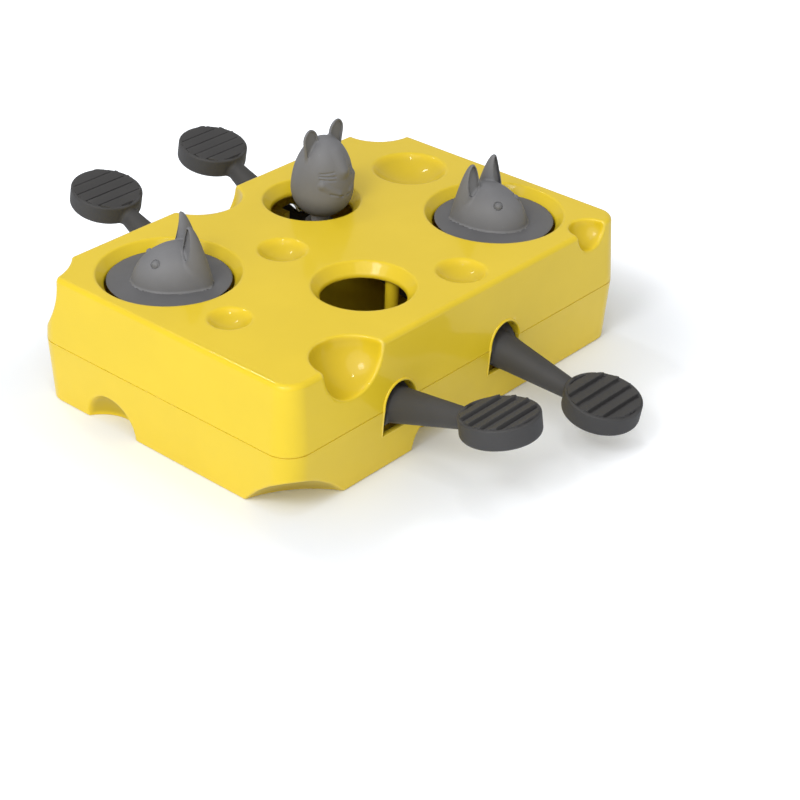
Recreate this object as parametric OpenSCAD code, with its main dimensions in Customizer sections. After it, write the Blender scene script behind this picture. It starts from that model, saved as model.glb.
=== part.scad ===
// Cheese-shaped puzzle feeder for cats: a two-part case with four press levers.
// Three levers lift mouse figures through holes in the top, the fourth lifts a treat cup.
// Millimetres. The origin is the centre of the base, +Z is up, the front is the -Y side.

/* [Case] */
// Length of the case at its seam, along X
case_length = 230; // [222:1:250]
// Width of the case at its seam, along Y
case_width = 158; // [150:1:172]
// Height of the closed case
case_height = 64; // [60:0.5:70]
// Height of the seam between the two shells
seam_height = 31; // [29:0.5:32]
// Radius of the upright corners
corner_radius = 12; // [8:0.5:16]
// How far each shell draws in from the seam to its far face
draft_inset = 2; // [1:0.25:2.5]
// Radius of the top edge
top_edge_radius = 2.5; // [1.5:0.25:3.5]
// Radius of the base edge
base_edge_radius = 1; // [0.5:0.25:1.5]
// Wall thickness of both shells
wall = 2.4; // [2:0.1:2.8]

/* [Top holes] */
// Throat radius of the two lid holes
lid_hole_radius = 29; // [27:0.25:31]
// Width of the chamfer round each lid hole
lid_hole_chamfer = 4; // [2.5:0.1:4.5]
// Throat radius of the standing figure's hole and of the treat hole
small_hole_radius = 19.4; // [18.5:0.1:20]
// Width of the chamfer round each small hole
small_hole_chamfer = 4.2; // [3:0.1:5]
// Depth of the chamfers below the top face
chamfer_depth = 5.2; // [4:0.1:5.4]
// Depth of the collars under the holes, below the top face
collar_depth = 7; // [6.5:0.1:8]

/* [Cheese dents and bites] */
// Rim radii of the three small round dents in the top
small_dent_radii = [9.7, 11.3, 11.5]; // [8:0.1:13]
// Rim radius of the large round dent in the top
large_dent_radius = 18.2; // [15:0.1:19]
// Depth of a dent as a share of its rim radius
dent_depth_share = 0.45; // [0.35:0.01:0.5]
// Radius of the left bite in the front top edge
front_left_bite_radius = 18; // [15:0.1:19]
// Radius of the right bite in the front top edge
front_right_bite_radius = 10; // [8:0.1:12]
// Radius of the middle bite in the back top edge
back_middle_bite_radius = 20.7; // [18:0.1:21]
// Radius of the bite in the back right top corner
back_right_bite_radius = 19; // [16:0.1:22]
// Radius of the bite in the back left top corner
back_left_bite_radius = 32.9; // [29:0.1:34]
// Sphere radius of the pockets at the foot of the two ends
end_arch_radius = 17.3; // [14:0.1:19]
// Sphere radius of the pockets at the foot of the front and back
side_arch_radius = 15.7; // [13:0.1:17]
// Sphere radius of the wide cuts at the foot of two corners
corner_cut_radius = 71.9; // [66:0.1:74]

/* [Levers] */
// Height of the pivots below the seam
pivot_drop = 3.5; // [3:0.25:4.5]
// Distance of the pivots from the inner face of the wall
pivot_setback = 6.6; // [6:0.1:8]
// Radius of the round paddle arm at the pivot
arm_root_radius = 8.6; // [7.5:0.1:8.8]
// Radius of the paddle arm where it meets the paddle
arm_tip_radius = 4.6; // [4:0.1:6]
// Distance along the arm from the pivot to the paddle's inner edge
arm_length = 46.8; // [42:0.2:54]
// Rise of each paddle arm as posed, in degrees: front left, front right, back left, back right
arm_rise_angles = [12.9, -7.3, 24.5, 26.5]; // [-8:0.1:27]
// Tilt of each paddle as posed, in degrees, in the same order
paddle_tilt_angles = [9.9, -8.7, 11.1, 9.6]; // [-10:0.1:14]
// Rise of each inner arm as posed, in degrees, in the same order
inner_rise_angles = [0, 11.7, -8, 0]; // [-9:0.1:12]
// Width of the hub along the pivot
hub_width = 17; // [15:0.5:17.5]
// Width of the inner arms
inner_arm_width = 9; // [7:0.5:11]
// Thickness of the inner arms
inner_arm_thickness = 7; // [6:0.25:8]

/* [Paddles] */
// Radius of the paddles
paddle_radius = 17.5; // [15:0.5:20]
// Thickness of the paddles
paddle_thickness = 10; // [8:0.5:11]
// Height of the paddle's middle above the arm's axis where they meet
paddle_step = 2; // [0:0.25:3]
// Width of the raised rim round the tread
rim_width = 1.8; // [1.2:0.1:3]
// Depth of the tread's floor below the rim
tread_depth = 1.2; // [0.8:0.1:2]
// Number of tread ribs on a paddle
rib_count = 5; // [3:1:8]
// Height of the ribs above the tread's floor
rib_height = 1.8; // [1:0.1:2.4]

/* [Pivots] */
// Radius of the pivot pins
pin_radius = 2; // [1.5:0.1:2.5]
// Radial running clearance of a hub on its pin
pin_clearance = 0.06; // [0.03:0.01:0.1]
// Thickness of the saddle posts beside a hub
saddle_thickness = 4; // [3:0.25:5]
// Length of the saddle posts, across the pin
saddle_length = 8; // [7:0.5:10]
// Gap between a hub and its saddle posts
hub_gap = 0.5; // [0.3:0.1:0.7]

/* [Slots] */
// Half the width of the lever slots, and radius of their arches
slot_radius = 10; // [9.8:0.1:11]
// Depth of the slot's sill below the seam
sill_drop = 13; // [12.8:0.1:14]
// Width of the bevel round the arch
slot_bevel = 1.2; // [0.6:0.1:1.6]

/* [Lids and figures] */
// Gap round a lid plate in its throat
lid_gap = 0.6; // [0.5:0.05:1.5]
// Thickness of the lid plates
lid_thickness = 3; // [2.4:0.1:3.4]
// Depth of the lid's top below the case's top
lid_depth = 3.65; // [2.8:0.05:4]
// Radius of the column under a lid
column_radius = 5; // [4.5:0.25:6]
// Length of a lid figure's head
head_length = 37; // [32:0.5:40]
// Largest radius of a lid figure's head
head_radius = 15.2; // [13:0.1:16]
// Height of the head's axis above its lid
head_axis_height = 2; // [1.5:0.25:4]
// Height of the standing figure's body along its axis
mouse_height = 40.5; // [38:0.5:44]
// Largest radius of the standing figure's body
mouse_radius = 15; // [13:0.25:15.5]
// Lean of the standing figure towards the front, in degrees
mouse_lean = 4; // [0:0.5:10]
// Radius of the stalk under the standing figure
stalk_radius = 4.2; // [3.8:0.1:5]
// Visible length of the stalk
stalk_gap = 4; // [2:0.25:5]
// Length of a lid figure's ear, from its lid to its tip
head_ear_length = 28.1; // [24:0.1:30]
// Radius of a lid figure's ear at its foot
head_ear_radius = 7.3; // [6:0.1:7.6]
// Length of a standing figure's ear
mouse_ear_length = 17; // [13:0.5:18]
// Radius of a standing figure's ear at its foot
mouse_ear_radius = 5.4; // [4:0.1:5.6]
// Radius of an ear at its tip
ear_tip_radius = 1.2; // [1:0.1:1.8]
// Thickness of the wall beside an ear's hollow
ear_wall = 1; // [0.8:0.1:1.4]

/* [Treat cup] */
// Outer radius of the treat cup
cup_radius = 13; // [11:0.25:14]
// Height of the treat cup
cup_height = 9; // [8:0.5:10]
// Wall thickness of the treat cup
cup_wall = 1.6; // [1.2:0.1:2]
// Thickness of the treat cup's floor
cup_floor = 4; // [3.5:0.1:4.5]

/* [Fasteners and pads] */
// Shank radius of the case screws
screw_radius = 1.5; // [1.3:0.1:1.6]
// Shank length of the case screws
screw_length = 24; // [18:1:26]
// Head radius of the case screws
screw_head_radius = 2.8; // [2.5:0.1:2.9]
// Head height of the case screws
screw_head_height = 2; // [1.6:0.1:2.4]
// Shank radius of the small screws under the figures
small_screw_radius = 1.3; // [1:0.1:1.4]
// Shank length of the small screws
small_screw_length = 13; // [12:0.5:14]
// Depth that the treat cup's screw runs into its floor
cup_screw_depth = 2.6; // [2:0.1:3]
// Head radius of the small screws
small_head_radius = 2.5; // [2.2:0.1:2.8]
// Head height of the small screws
small_head_height = 1.5; // [1:0.1:1.6]
// Radius of the grip pads let into the base
pad_radius = 7; // [5:0.5:9]
// Thickness of the grip pads
pad_thickness = 1.2; // [0.8:0.1:1.4]

/* [Hidden] */
$fn = 48;

// Thickness of the slices that a drafted block is hulled from
film = 0.01;
// How far one shape runs into the next, and a cut past what it cuts
bond = 0.5;
overrun = 2;
// Steps of a rounded edge
edge_steps = 4;
// Fits: a pin in its saddle, a pressed or seated part, a screw in its hole
seat_clearance = 0.03;
press_clearance = 0.02;
screw_clearance = 0.05;
head_clearance = 0.3;
// Room past the end of a screw
screw_end_gap = 0.5;

half_length = case_length / 2;
half_width = case_width / 2;
inner_top = case_height - wall;
lid_radius = lid_hole_radius - lid_gap;
DENT_RADII = concat(small_dent_radii, [large_dent_radius]);
FRONT_BITE_RADII = [front_left_bite_radius, front_right_bite_radius];
BACK_BITE_RADII = [back_middle_bite_radius, back_right_bite_radius, back_left_bite_radius];

// Holes in the top, as shares of the half length and half width
LEFT_LID_shares = [-0.639, 0.435];
RIGHT_LID_shares = [0.6413, -0.4087];
MOUSE_HOLE_shares = [0.2114, 0.4965];
TREAT_HOLE_shares = [-0.2073, -0.4701];

function place(shares) = [shares[0] * half_length, shares[1] * half_width];
LID_PLACES = [place(LEFT_LID_shares), place(RIGHT_LID_shares)];
MOUSE_PLACE = place(MOUSE_HOLE_shares);
TREAT_PLACE = place(TREAT_HOLE_shares);
// Directions of the lid figures' noses, in degrees from +X
left_head_heading = 149;
right_head_heading = -90;

// Dents: places as shares of the half length and half width
DENT_PLACE_shares = [[-0.746, -0.203], [-0.207, 0.158], [0.145, -0.751], [0.7226, 0.3595]];

// Bites in the front top edge: [share along X, distance inside the seam's outline, depth]
FRONT_BITE_shares = [-0.6435, 0.7887];
front_bite_inset = 3;
front_bite_depth = 0.8;
// Bites in the back: places as shares, and centre depths below the top
BACK_BITE_shares = [[-0.087, 1.0253], [0.9652, 0.9367], [-1.0313, 1.238]];
back_bite_depths = [0, 0, 4.2];

// Pockets at the foot: places as shares, and how far their centres lie outside the wall
END_ARCH_share = 0.4127;
end_arch_offset = 5.5;
SIDE_ARCH_share = 0.174;
side_arch_offset = 4;
CORNER_CUT_shares = [1.1087, 1.3241];
corner_cut_drop = 45;

// Levers: front left, front right, back left, back right
LEVER_X_shares = [-0.4, 0.2261, -0.2261, 0.4];
LEVER_SIDES = [-1, -1, 1, 1];
FRONT_LEFT = 0;
FRONT_RIGHT = 1;
BACK_LEFT = 2;
BACK_RIGHT = 3;
pivot_height = seam_height - pivot_drop;
pivot_y = half_width - wall - pivot_setback;
// Turns a lever drawn for the front side round to the back side
function lever_turn(i) = LEVER_SIDES[i] < 0 ? 0 : 180;
function lever_x(i) = LEVER_X_shares[i] * half_length;
// A place in the case as seen from a lever's pivot
function seen_from(i, p) = [
    -LEVER_SIDES[i] * (p[0] - lever_x(i)),
    -LEVER_SIDES[i] * p[1] + pivot_y
];

// Inner end pads, measured from the pivots
pad_end_radius = 7;
pad_end_thickness = 6;
// Place of the standing figure's foot, from the centre of its hole
figure_shift = [2.9, -3];
mouse_pad_offset = pad_end_thickness / 2 + stalk_gap;
LEVER_ENDS = [
    seen_from(FRONT_LEFT, LID_PLACES[0]),
    seen_from(FRONT_RIGHT, MOUSE_PLACE + figure_shift) + [0, mouse_pad_offset * sin(mouse_lean)],
    seen_from(BACK_LEFT, TREAT_PLACE),
    seen_from(BACK_RIGHT, LID_PLACES[1])
];
// Lean of each end pad towards its pivot, as posed
END_LEANS = [0, mouse_lean, inner_rise_angles[BACK_LEFT], 0];
function end_height(i) = LEVER_ENDS[i][1] * tan(inner_rise_angles[i]);

lid_top = case_height - lid_depth;
column_bottom = pivot_height + end_height(FRONT_LEFT) + pad_end_thickness / 2;
column_bottom_right = pivot_height + end_height(BACK_RIGHT) + pad_end_thickness / 2;

// Case screws: places as shares, and the height of their seats above the base
SCREW_shares = [
    [-0.896, -0.38], [-0.452, 0.861], [0.896, 0.38],
    [0.452, -0.861], [0.004, -0.418], [-0.004, 0.418]
];
screw_seat_height = 18;
top_pillar_radius = 3.3;
bottom_pillar_radius = 4.6;
PAD_shares = [[-0.55, -0.7], [-0.55, 0.7], [0.55, -0.7], [0.55, 0.7]];

// Locating tongue at the seam
tongue_inset = 1.2;
tongue_height = 1.6;
tongue_gap = 0.2;

saddle_inner = hub_width / 2 + hub_gap;
pin_length = 2 * (saddle_inner + saddle_thickness);
keeper_height = 13;
keeper_gap = 0.05;

// Figures: where their bodies are fullest, and where their ears stand
head_full_share = 0.63;
head_ear_back_share = 0.29;
head_ear_spread_share = 0.52;
head_ear_splay = 0.5;
head_ear_slant = 6;
mouse_full_share = 0.36;
mouse_ear_spread_share = 0.483;
mouse_ear_back_share = 0.025;
mouse_ear_foot_share = 0.728;
mouse_ear_splay = 10;
mouse_ear_slant = 4;
// How far the middle of an ear's hollow lies in front of the ear's, and steps of its outline
ear_hollow_shift_share = 0.35;
ear_steps = 10;
// Depth that the stalk runs into the standing figure
stalk_depth = 8;

// Shares of a rib's pitch: where its crest ends and where its foot ends
rib_crest_share = 0.7;
rib_foot_share = 0.92;

// An oval that is fullest at a share of its length: points [radius, distance along its axis]
oval_steps = 20;
function oval_radius(t, radius, full_share) =
    radius * sqrt(max(0, 1 - pow((t < full_share ? full_share - t : t - full_share)
                                 / (t < full_share ? full_share : 1 - full_share), 2)));
function oval_points(length, radius, full_share) = concat(
    [[0, 0]],
    [for (k = [1 : oval_steps - 1]) let (t = k / oval_steps)
        [oval_radius(t, radius, full_share), t * length]],
    [[0, length]]
);

// An ear's outline, from its foot to its tip: points [radius, height]
function ear_points(length, radius, tip_radius) = concat(
    [[0, 0]],
    [for (k = [0 : ear_steps]) let (t = 1 - k / ear_steps)
        [tip_radius + (radius - tip_radius) * t, length * (1 - t * t)]],
    [[0, length]]
);

// Blocks and outlines of the case

module rounded_outline(half_x, half_y, radius) {
    square([2 * half_x, 2 * (half_y - radius)], center = true);
    square([2 * (half_x - radius), 2 * half_y], center = true);
    for (sx = [-1, 1])
        for (sy = [-1, 1])
            translate([sx * (half_x - radius), sy * (half_y - radius)])
                circle(radius);
}

module slice(z, inset) {
    translate([0, 0, z])
        linear_extrude(film)
            rounded_outline(half_length - inset, half_width - inset, corner_radius - inset);
}

// A block from the seam to z_end that draws in on the way and rounds over at its end
module drafted_block(inset, z_end, edge_radius) {
    up = z_end > seam_height ? 1 : -1;
    hull() {
        slice(up > 0 ? seam_height : seam_height - film, inset);
        for (k = [0 : edge_steps])
            let (a = 90 * k / edge_steps)
                slice(z_end - up * edge_radius * (1 - sin(a)) - (up > 0 ? film : 0),
                      inset + draft_inset + edge_radius * (1 - cos(a)));
    }
}

module upper_block() {
    drafted_block(0, case_height, top_edge_radius);
}

module lower_block() {
    drafted_block(0, 0, base_edge_radius);
}

// Cheese shapes

// Sphere of a dent whose rim lies in the top face
module dent_sphere(i, grow) {
    radius = DENT_RADII[i];
    depth = radius * dent_depth_share;
    sphere_radius = (radius * radius + depth * depth) / (2 * depth);
    at = place(DENT_PLACE_shares[i]);
    translate([at[0], at[1], case_height - depth + sphere_radius])
        sphere(sphere_radius + grow);
}

module top_bites(grow) {
    for (i = [0, 1])
        translate([FRONT_BITE_shares[i] * half_length, front_bite_inset - half_width,
                   case_height - front_bite_depth])
            sphere(FRONT_BITE_RADII[i] + grow);
    for (i = [0 : 2]) {
        at = place(BACK_BITE_shares[i]);
        translate([at[0], at[1], case_height - back_bite_depths[i]])
            sphere(BACK_BITE_RADII[i] + grow);
    }
}

module base_pockets(grow) {
    for (turn = [0, 180])
        rotate([0, 0, turn]) {
            translate([-half_length - end_arch_offset, END_ARCH_share * half_width, 0])
                sphere(end_arch_radius + grow);
            translate([-SIDE_ARCH_share * half_length, -half_width - side_arch_offset, 0])
                sphere(side_arch_radius + grow);
            translate([-CORNER_CUT_shares[0] * half_length, -CORNER_CUT_shares[1] * half_width,
                       -corner_cut_drop])
                sphere(corner_cut_radius + grow);
        }
}

// Things that stand at each screw, at each pad and at each lever

module at_screws() {
    for (shares = SCREW_shares)
        translate(place(shares))
            children();
}

module at_pads() {
    for (shares = PAD_shares)
        translate(place(shares))
            children();
}

module at_lever(i) {
    translate([lever_x(i), LEVER_SIDES[i] * pivot_y, 0])
        rotate([0, 0, lever_turn(i)])
            children();
}

// The arched slot through the wall, drawn from the pivot of a front lever
module slot_cut() {
    depth = pivot_setback + wall + overrun;
    translate([0, 0, seam_height])
        rotate([90, 0, 0])
            cylinder(r = slot_radius, h = depth);
    translate([-slot_radius, -depth, seam_height - sill_drop])
        cube([2 * slot_radius, depth, sill_drop]);
    translate([0, -pivot_setback - wall + slot_bevel, seam_height])
        rotate([90, 0, 0])
            cylinder(r1 = slot_radius, r2 = slot_radius + slot_bevel, h = slot_bevel);
}

module hole_cut(at, radius, chamfer) {
    translate([at[0], at[1], case_height - collar_depth - overrun])
        cylinder(r = radius, h = collar_depth + 2 * overrun);
    translate([at[0], at[1], case_height - chamfer_depth])
        cylinder(r1 = radius, r2 = radius + chamfer, h = chamfer_depth);
}

// Wall round a hole, below its throat and behind its chamfer
module collar(at, radius, chamfer) {
    translate([at[0], at[1], case_height - collar_depth])
        cylinder(r = radius + wall, h = collar_depth - wall + bond);
    translate([at[0], at[1], inner_top - chamfer_depth])
        cylinder(r1 = radius, r2 = radius + chamfer, h = chamfer_depth);
}

// Case

// Rib and tongue of the top shell that hold a pin down in its saddle
module pin_keeper() {
    for (side = [-1, 1])
        translate([side * (saddle_inner + saddle_thickness / 2), 0, 0]) {
            translate([-saddle_thickness / 2, -pivot_setback - bond, seam_height])
                cube([saddle_thickness, pivot_setback + bond + saddle_length / 2, keeper_height]);
            translate([-saddle_thickness / 2, -pin_radius, pivot_height + pin_radius + keeper_gap])
                cube([saddle_thickness, 2 * pin_radius, pivot_drop]);
        }
}

module saddle_posts() {
    for (side = [-1, 1])
        translate([side * (saddle_inner + saddle_thickness / 2), 0, 0])
            translate([-saddle_thickness / 2, -saddle_length / 2, wall - bond])
                cube([saddle_thickness, saddle_length, seam_height - wall + bond]);
}

module saddle_cut() {
    cut_radius = pin_radius + seat_clearance;
    translate([-pin_length / 2 - overrun, 0, pivot_height])
        rotate([0, 90, 0])
            cylinder(r = cut_radius, h = pin_length + 2 * overrun);
    translate([-pin_length / 2 - overrun, -cut_radius, pivot_height])
        cube([pin_length + 2 * overrun, 2 * cut_radius, pivot_drop + overrun]);
}

module top_shell() {
    color([0.92, 0.79, 0.22])
        difference() {
            union() {
                difference() {
                    upper_block();
                    drafted_block(wall, inner_top, top_edge_radius);
                }
                intersection() {
                    upper_block();
                    union() {
                        top_bites(wall);
                        for (i = [0 : 3])
                            dent_sphere(i, wall);
                    }
                }
                for (p = LID_PLACES)
                    collar(p, lid_hole_radius, lid_hole_chamfer);
                collar(MOUSE_PLACE, small_hole_radius, small_hole_chamfer);
                collar(TREAT_PLACE, small_hole_radius, small_hole_chamfer);
                at_screws()
                    translate([0, 0, seam_height])
                        cylinder(r = top_pillar_radius, h = inner_top - seam_height + bond);
                for (i = [0 : 3])
                    at_lever(i)
                        pin_keeper();
            }
            for (p = LID_PLACES)
                hole_cut(p, lid_hole_radius, lid_hole_chamfer);
            hole_cut(MOUSE_PLACE, small_hole_radius, small_hole_chamfer);
            hole_cut(TREAT_PLACE, small_hole_radius, small_hole_chamfer);
            for (i = [0 : 3])
                dent_sphere(i, 0);
            top_bites(0);
            for (i = [0 : 3])
                at_lever(i)
                    slot_cut();
            at_screws()
                translate([0, 0, seam_height - overrun])
                    cylinder(r = screw_radius + screw_clearance,
                             h = overrun + screw_seat_height + screw_length - seam_height + screw_end_gap);
            tongue_space();
        }
}

// Space that the bottom shell's tongue takes out of the top shell
module tongue_space() {
    inset = tongue_inset - tongue_gap;
    translate([0, 0, seam_height - overrun])
        linear_extrude(overrun + tongue_height + tongue_gap)
            difference() {
                rounded_outline(half_length - inset, half_width - inset, corner_radius - inset);
                rounded_outline(half_length - wall - tongue_gap, half_width - wall - tongue_gap,
                                corner_radius - wall - tongue_gap);
            }
}

module tongue() {
    translate([0, 0, seam_height - bond])
        linear_extrude(bond + tongue_height)
            difference() {
                rounded_outline(half_length - tongue_inset, half_width - tongue_inset,
                                corner_radius - tongue_inset);
                rounded_outline(half_length - wall, half_width - wall, corner_radius - wall);
            }
}

module bottom_shell() {
    color([0.9, 0.76, 0.2])
        difference() {
            union() {
                difference() {
                    lower_block();
                    drafted_block(wall, wall, base_edge_radius);
                }
                tongue();
                intersection() {
                    lower_block();
                    base_pockets(wall);
                }
                at_screws()
                    translate([0, 0, wall - bond])
                        cylinder(r = bottom_pillar_radius, h = seam_height - wall + bond);
                for (i = [0 : 3])
                    at_lever(i)
                        saddle_posts();
            }
            base_pockets(0);
            at_screws() {
                translate([0, 0, -overrun])
                    cylinder(r = screw_head_radius + head_clearance, h = overrun + screw_seat_height);
                cylinder(r = screw_radius + screw_clearance, h = seam_height + overrun);
            }
            at_pads()
                translate([0, 0, -overrun])
                    cylinder(r = pad_radius + press_clearance, h = overrun + pad_thickness);
            for (i = [0 : 3])
                at_lever(i) {
                    slot_cut();
                    saddle_cut();
                }
        }
}

module case_screws() {
    color([0.62, 0.63, 0.65])
        at_screws() {
            translate([0, 0, screw_seat_height])
                cylinder(r = screw_radius, h = screw_length);
            translate([0, 0, screw_seat_height - screw_head_height])
                cylinder(r = screw_head_radius, h = screw_head_height);
        }
}

module grip_pads() {
    color([0.85, 0.82, 0.7])
        at_pads()
            cylinder(r = pad_radius, h = pad_thickness);
}

// Levers

module pivot_pin(i) {
    color([0.7, 0.71, 0.73])
        at_lever(i)
            translate([-pin_length / 2, 0, pivot_height])
                rotate([0, 90, 0])
                    cylinder(r = pin_radius, h = pin_length);
}

// A paddle with its top towards +Z and its middle at the origin
module paddle() {
    floor_z = paddle_thickness / 2 - tread_depth;
    tread_radius = paddle_radius - rim_width;
    pitch = 2 * tread_radius / rib_count;
    difference() {
        translate([0, 0, -paddle_thickness / 2])
            cylinder(r = paddle_radius, h = paddle_thickness);
        translate([0, 0, floor_z])
            cylinder(r = tread_radius, h = tread_depth + overrun);
    }
    intersection() {
        translate([0, 0, floor_z - bond])
            cylinder(r = tread_radius + rim_width / 2, h = rib_height + bond);
        for (k = [0 : rib_count - 1])
            translate([-paddle_radius, k * pitch - tread_radius, floor_z])
                rotate([90, 0, 90])
                    linear_extrude(2 * paddle_radius)
                        tread_rib(pitch);
    }
}

// One rib of the tread, with a steep side towards the case
module tread_rib(pitch) {
    polygon([[0, -bond], [0, 0], [pitch * (1 - rib_crest_share), rib_height],
             [pitch * rib_crest_share, rib_height], [pitch * rib_foot_share, 0],
             [pitch * rib_foot_share, -bond]]);
}

module lever_arm(i) {
    rise = arm_rise_angles[i];
    tilt = paddle_tilt_angles[i];
    edge = [-arm_length * cos(rise), arm_length * sin(rise) + paddle_step];
    difference() {
        union() {
            rotate([90 - rise, 0, 0])
                cylinder(r1 = arm_root_radius, r2 = arm_tip_radius, h = arm_length + rim_width);
            translate([-hub_width / 2, 0, 0])
                rotate([0, 90, 0])
                    cylinder(r = arm_root_radius, h = hub_width);
            translate([0, edge[0] - paddle_radius * cos(tilt), edge[1] + paddle_radius * sin(tilt)])
                rotate([-tilt, 0, 0])
                    paddle();
            inner_arm(i);
        }
        rotate([0, 90, 0])
            translate([0, 0, -hub_width / 2 - overrun])
                cylinder(r = pin_radius + pin_clearance, h = hub_width + 2 * overrun);
        at_end(i)
            translate([0, 0, -pad_end_thickness / 2 - overrun])
                cylinder(r = small_screw_radius + screw_clearance,
                         h = pad_end_thickness + 2 * overrun);
        at_end(i)
            translate([0, 0, -pad_end_thickness / 2 - inner_arm_thickness])
                cylinder(r = small_head_radius + head_clearance, h = inner_arm_thickness);
        at_end(i)
            translate([0, 0, pad_end_thickness / 2])
                cylinder(r = (i == BACK_LEFT ? cup_radius : pad_end_radius) + hub_gap,
                         h = inner_arm_thickness);
    }
}

// Moves to a lever's inner end pad, with +Z along the axis of what stands on it
module at_end(i) {
    translate([LEVER_ENDS[i][0], LEVER_ENDS[i][1], end_height(i)])
        rotate([END_LEANS[i], 0, 0])
            children();
}

module inner_arm(i) {
    run = LEVER_ENDS[i][1] / cos(inner_rise_angles[i]);
    side = LEVER_ENDS[i][0];
    half = inner_arm_width / 2;
    rotate([inner_rise_angles[i], 0, 0])
        translate([0, 0, -inner_arm_thickness / 2])
            linear_extrude(inner_arm_thickness)
                polygon([[-half, 0], [half, 0], [side + half, run], [side - half, run]]);
    at_end(i)
        translate([0, 0, -pad_end_thickness / 2])
            cylinder(r = pad_end_radius, h = pad_end_thickness);
}

module lever(i) {
    color([0.28, 0.275, 0.275])
        at_lever(i)
            translate([0, 0, pivot_height])
                lever_arm(i);
}

module lever_screw(i) {
    color([0.62, 0.63, 0.65])
        at_lever(i)
            translate([0, 0, pivot_height])
                at_end(i)
                    translate([0, 0, -pad_end_thickness / 2]) {
                        cylinder(r = small_screw_radius,
                                 h = i == BACK_LEFT ? pad_end_thickness + cup_screw_depth
                                                    : small_screw_length);
                        translate([0, 0, -small_head_height])
                            cylinder(r = small_head_radius, h = small_head_height);
                    }
}

// Lids and figures

module lid(at, bottom) {
    plate_bottom = lid_top - lid_thickness;
    color([0.36, 0.36, 0.37])
        translate([at[0], at[1], 0])
            difference() {
                union() {
                    translate([0, 0, plate_bottom])
                        cylinder(r1 = lid_radius - lid_thickness, r2 = lid_radius, h = lid_thickness);
                    translate([0, 0, bottom])
                        cylinder(r = column_radius, h = plate_bottom + bond - bottom);
                }
                translate([0, 0, bottom - overrun])
                    cylinder(r = small_screw_radius + screw_clearance,
                             h = overrun + small_screw_length - pad_end_thickness + screw_end_gap);
            }
}

// A cup-shaped ear standing on its foot, hollow and open towards +X
module ear(length, foot_radius) {
    hollow_radius = foot_radius - ear_wall;
    difference() {
        rotate_extrude()
            polygon(ear_points(length, foot_radius, ear_tip_radius));
        translate([foot_radius * ear_hollow_shift_share, 0, ear_wall])
            rotate_extrude()
                polygon(ear_points(length + overrun, hollow_radius, ear_tip_radius));
    }
}

// Head with its nose towards +X, lying on its lid
module mouse_head(at, heading) {
    color([0.47, 0.47, 0.48])
        translate([at[0], at[1], lid_top])
            rotate([0, 0, heading])
                intersection() {
                    union() {
                        translate([head_length / 2, 0, head_axis_height])
                            rotate([0, -90, 0])
                                rotate_extrude()
                                    polygon(oval_points(head_length, head_radius, head_full_share));
                        for (side = [-1, 1])
                            translate([-head_length * head_ear_back_share,
                                       side * head_radius * head_ear_spread_share, 0])
                                rotate([-side * head_ear_splay, head_ear_slant, 0])
                                    translate([0, 0, -overrun])
                                        ear(head_ear_length + overrun, head_ear_radius);
                    }
                    translate([-head_length, -head_length, 0])
                        cube(2 * head_length);
                }
}

module mouse_axis() {
    at_lever(FRONT_RIGHT)
        translate([0, 0, pivot_height])
            at_end(FRONT_RIGHT)
                translate([0, 0, pad_end_thickness / 2])
                    children();
}

module mouse_stalk() {
    color([0.6, 0.6, 0.61])
        mouse_axis()
            difference() {
                cylinder(r = stalk_radius, h = stalk_gap + stalk_depth);
                translate([0, 0, -overrun])
                    cylinder(r = small_screw_radius + screw_clearance,
                             h = overrun + small_screw_length - pad_end_thickness + screw_end_gap);
            }
}

module standing_mouse() {
    color([0.47, 0.47, 0.48])
        mouse_axis()
            translate([0, 0, stalk_gap])
                difference() {
                    union() {
                        rotate_extrude()
                            polygon(oval_points(mouse_height, mouse_radius, mouse_full_share));
                        for (side = [-1, 1])
                            translate([side * mouse_radius * mouse_ear_spread_share,
                                       mouse_radius * mouse_ear_back_share,
                                       mouse_height * mouse_ear_foot_share])
                                rotate([-mouse_ear_slant, side * mouse_ear_splay, -90])
                                    ear(mouse_ear_length, mouse_ear_radius);
                    }
                    translate([0, 0, -overrun])
                        cylinder(r = stalk_radius + press_clearance, h = overrun + stalk_depth + bond);
                }
}

module treat_cup() {
    color([0.28, 0.275, 0.275])
        at_lever(BACK_LEFT)
            translate([0, 0, pivot_height])
                at_end(BACK_LEFT)
                    translate([0, 0, pad_end_thickness / 2])
                        difference() {
                            cylinder(r1 = cup_radius - cup_wall, r2 = cup_radius, h = cup_height);
                            translate([0, 0, cup_floor])
                                cylinder(r1 = cup_radius - 2 * cup_wall, r2 = cup_radius - cup_wall,
                                         h = cup_height - cup_floor + film);
                            translate([0, 0, -overrun])
                                cylinder(r = small_screw_radius + screw_clearance,
                                         h = overrun + cup_screw_depth + screw_end_gap);
                        }
}

top_shell();
bottom_shell();
case_screws();
grip_pads();
pivot_pin(FRONT_LEFT);  // front_left_pivot_pin
pivot_pin(FRONT_RIGHT);  // front_right_pivot_pin
pivot_pin(BACK_LEFT);  // back_left_pivot_pin
pivot_pin(BACK_RIGHT);  // back_right_pivot_pin
lever(FRONT_LEFT);  // front_left_lever
lever(FRONT_RIGHT);  // front_right_lever
lever(BACK_LEFT);  // back_left_lever
lever(BACK_RIGHT);  // back_right_lever
lid(LID_PLACES[0], column_bottom);  // left_lid
lid(LID_PLACES[1], column_bottom_right);  // right_lid
mouse_head(LID_PLACES[0], left_head_heading);  // left_mouse_head
mouse_head(LID_PLACES[1], right_head_heading);  // right_mouse_head
standing_mouse();
mouse_stalk();
treat_cup();
lever_screw(FRONT_LEFT);  // front_left_lever_screw
lever_screw(FRONT_RIGHT);  // front_right_lever_screw
lever_screw(BACK_LEFT);  // back_left_lever_screw
lever_screw(BACK_RIGHT);  // back_right_lever_screw
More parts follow.
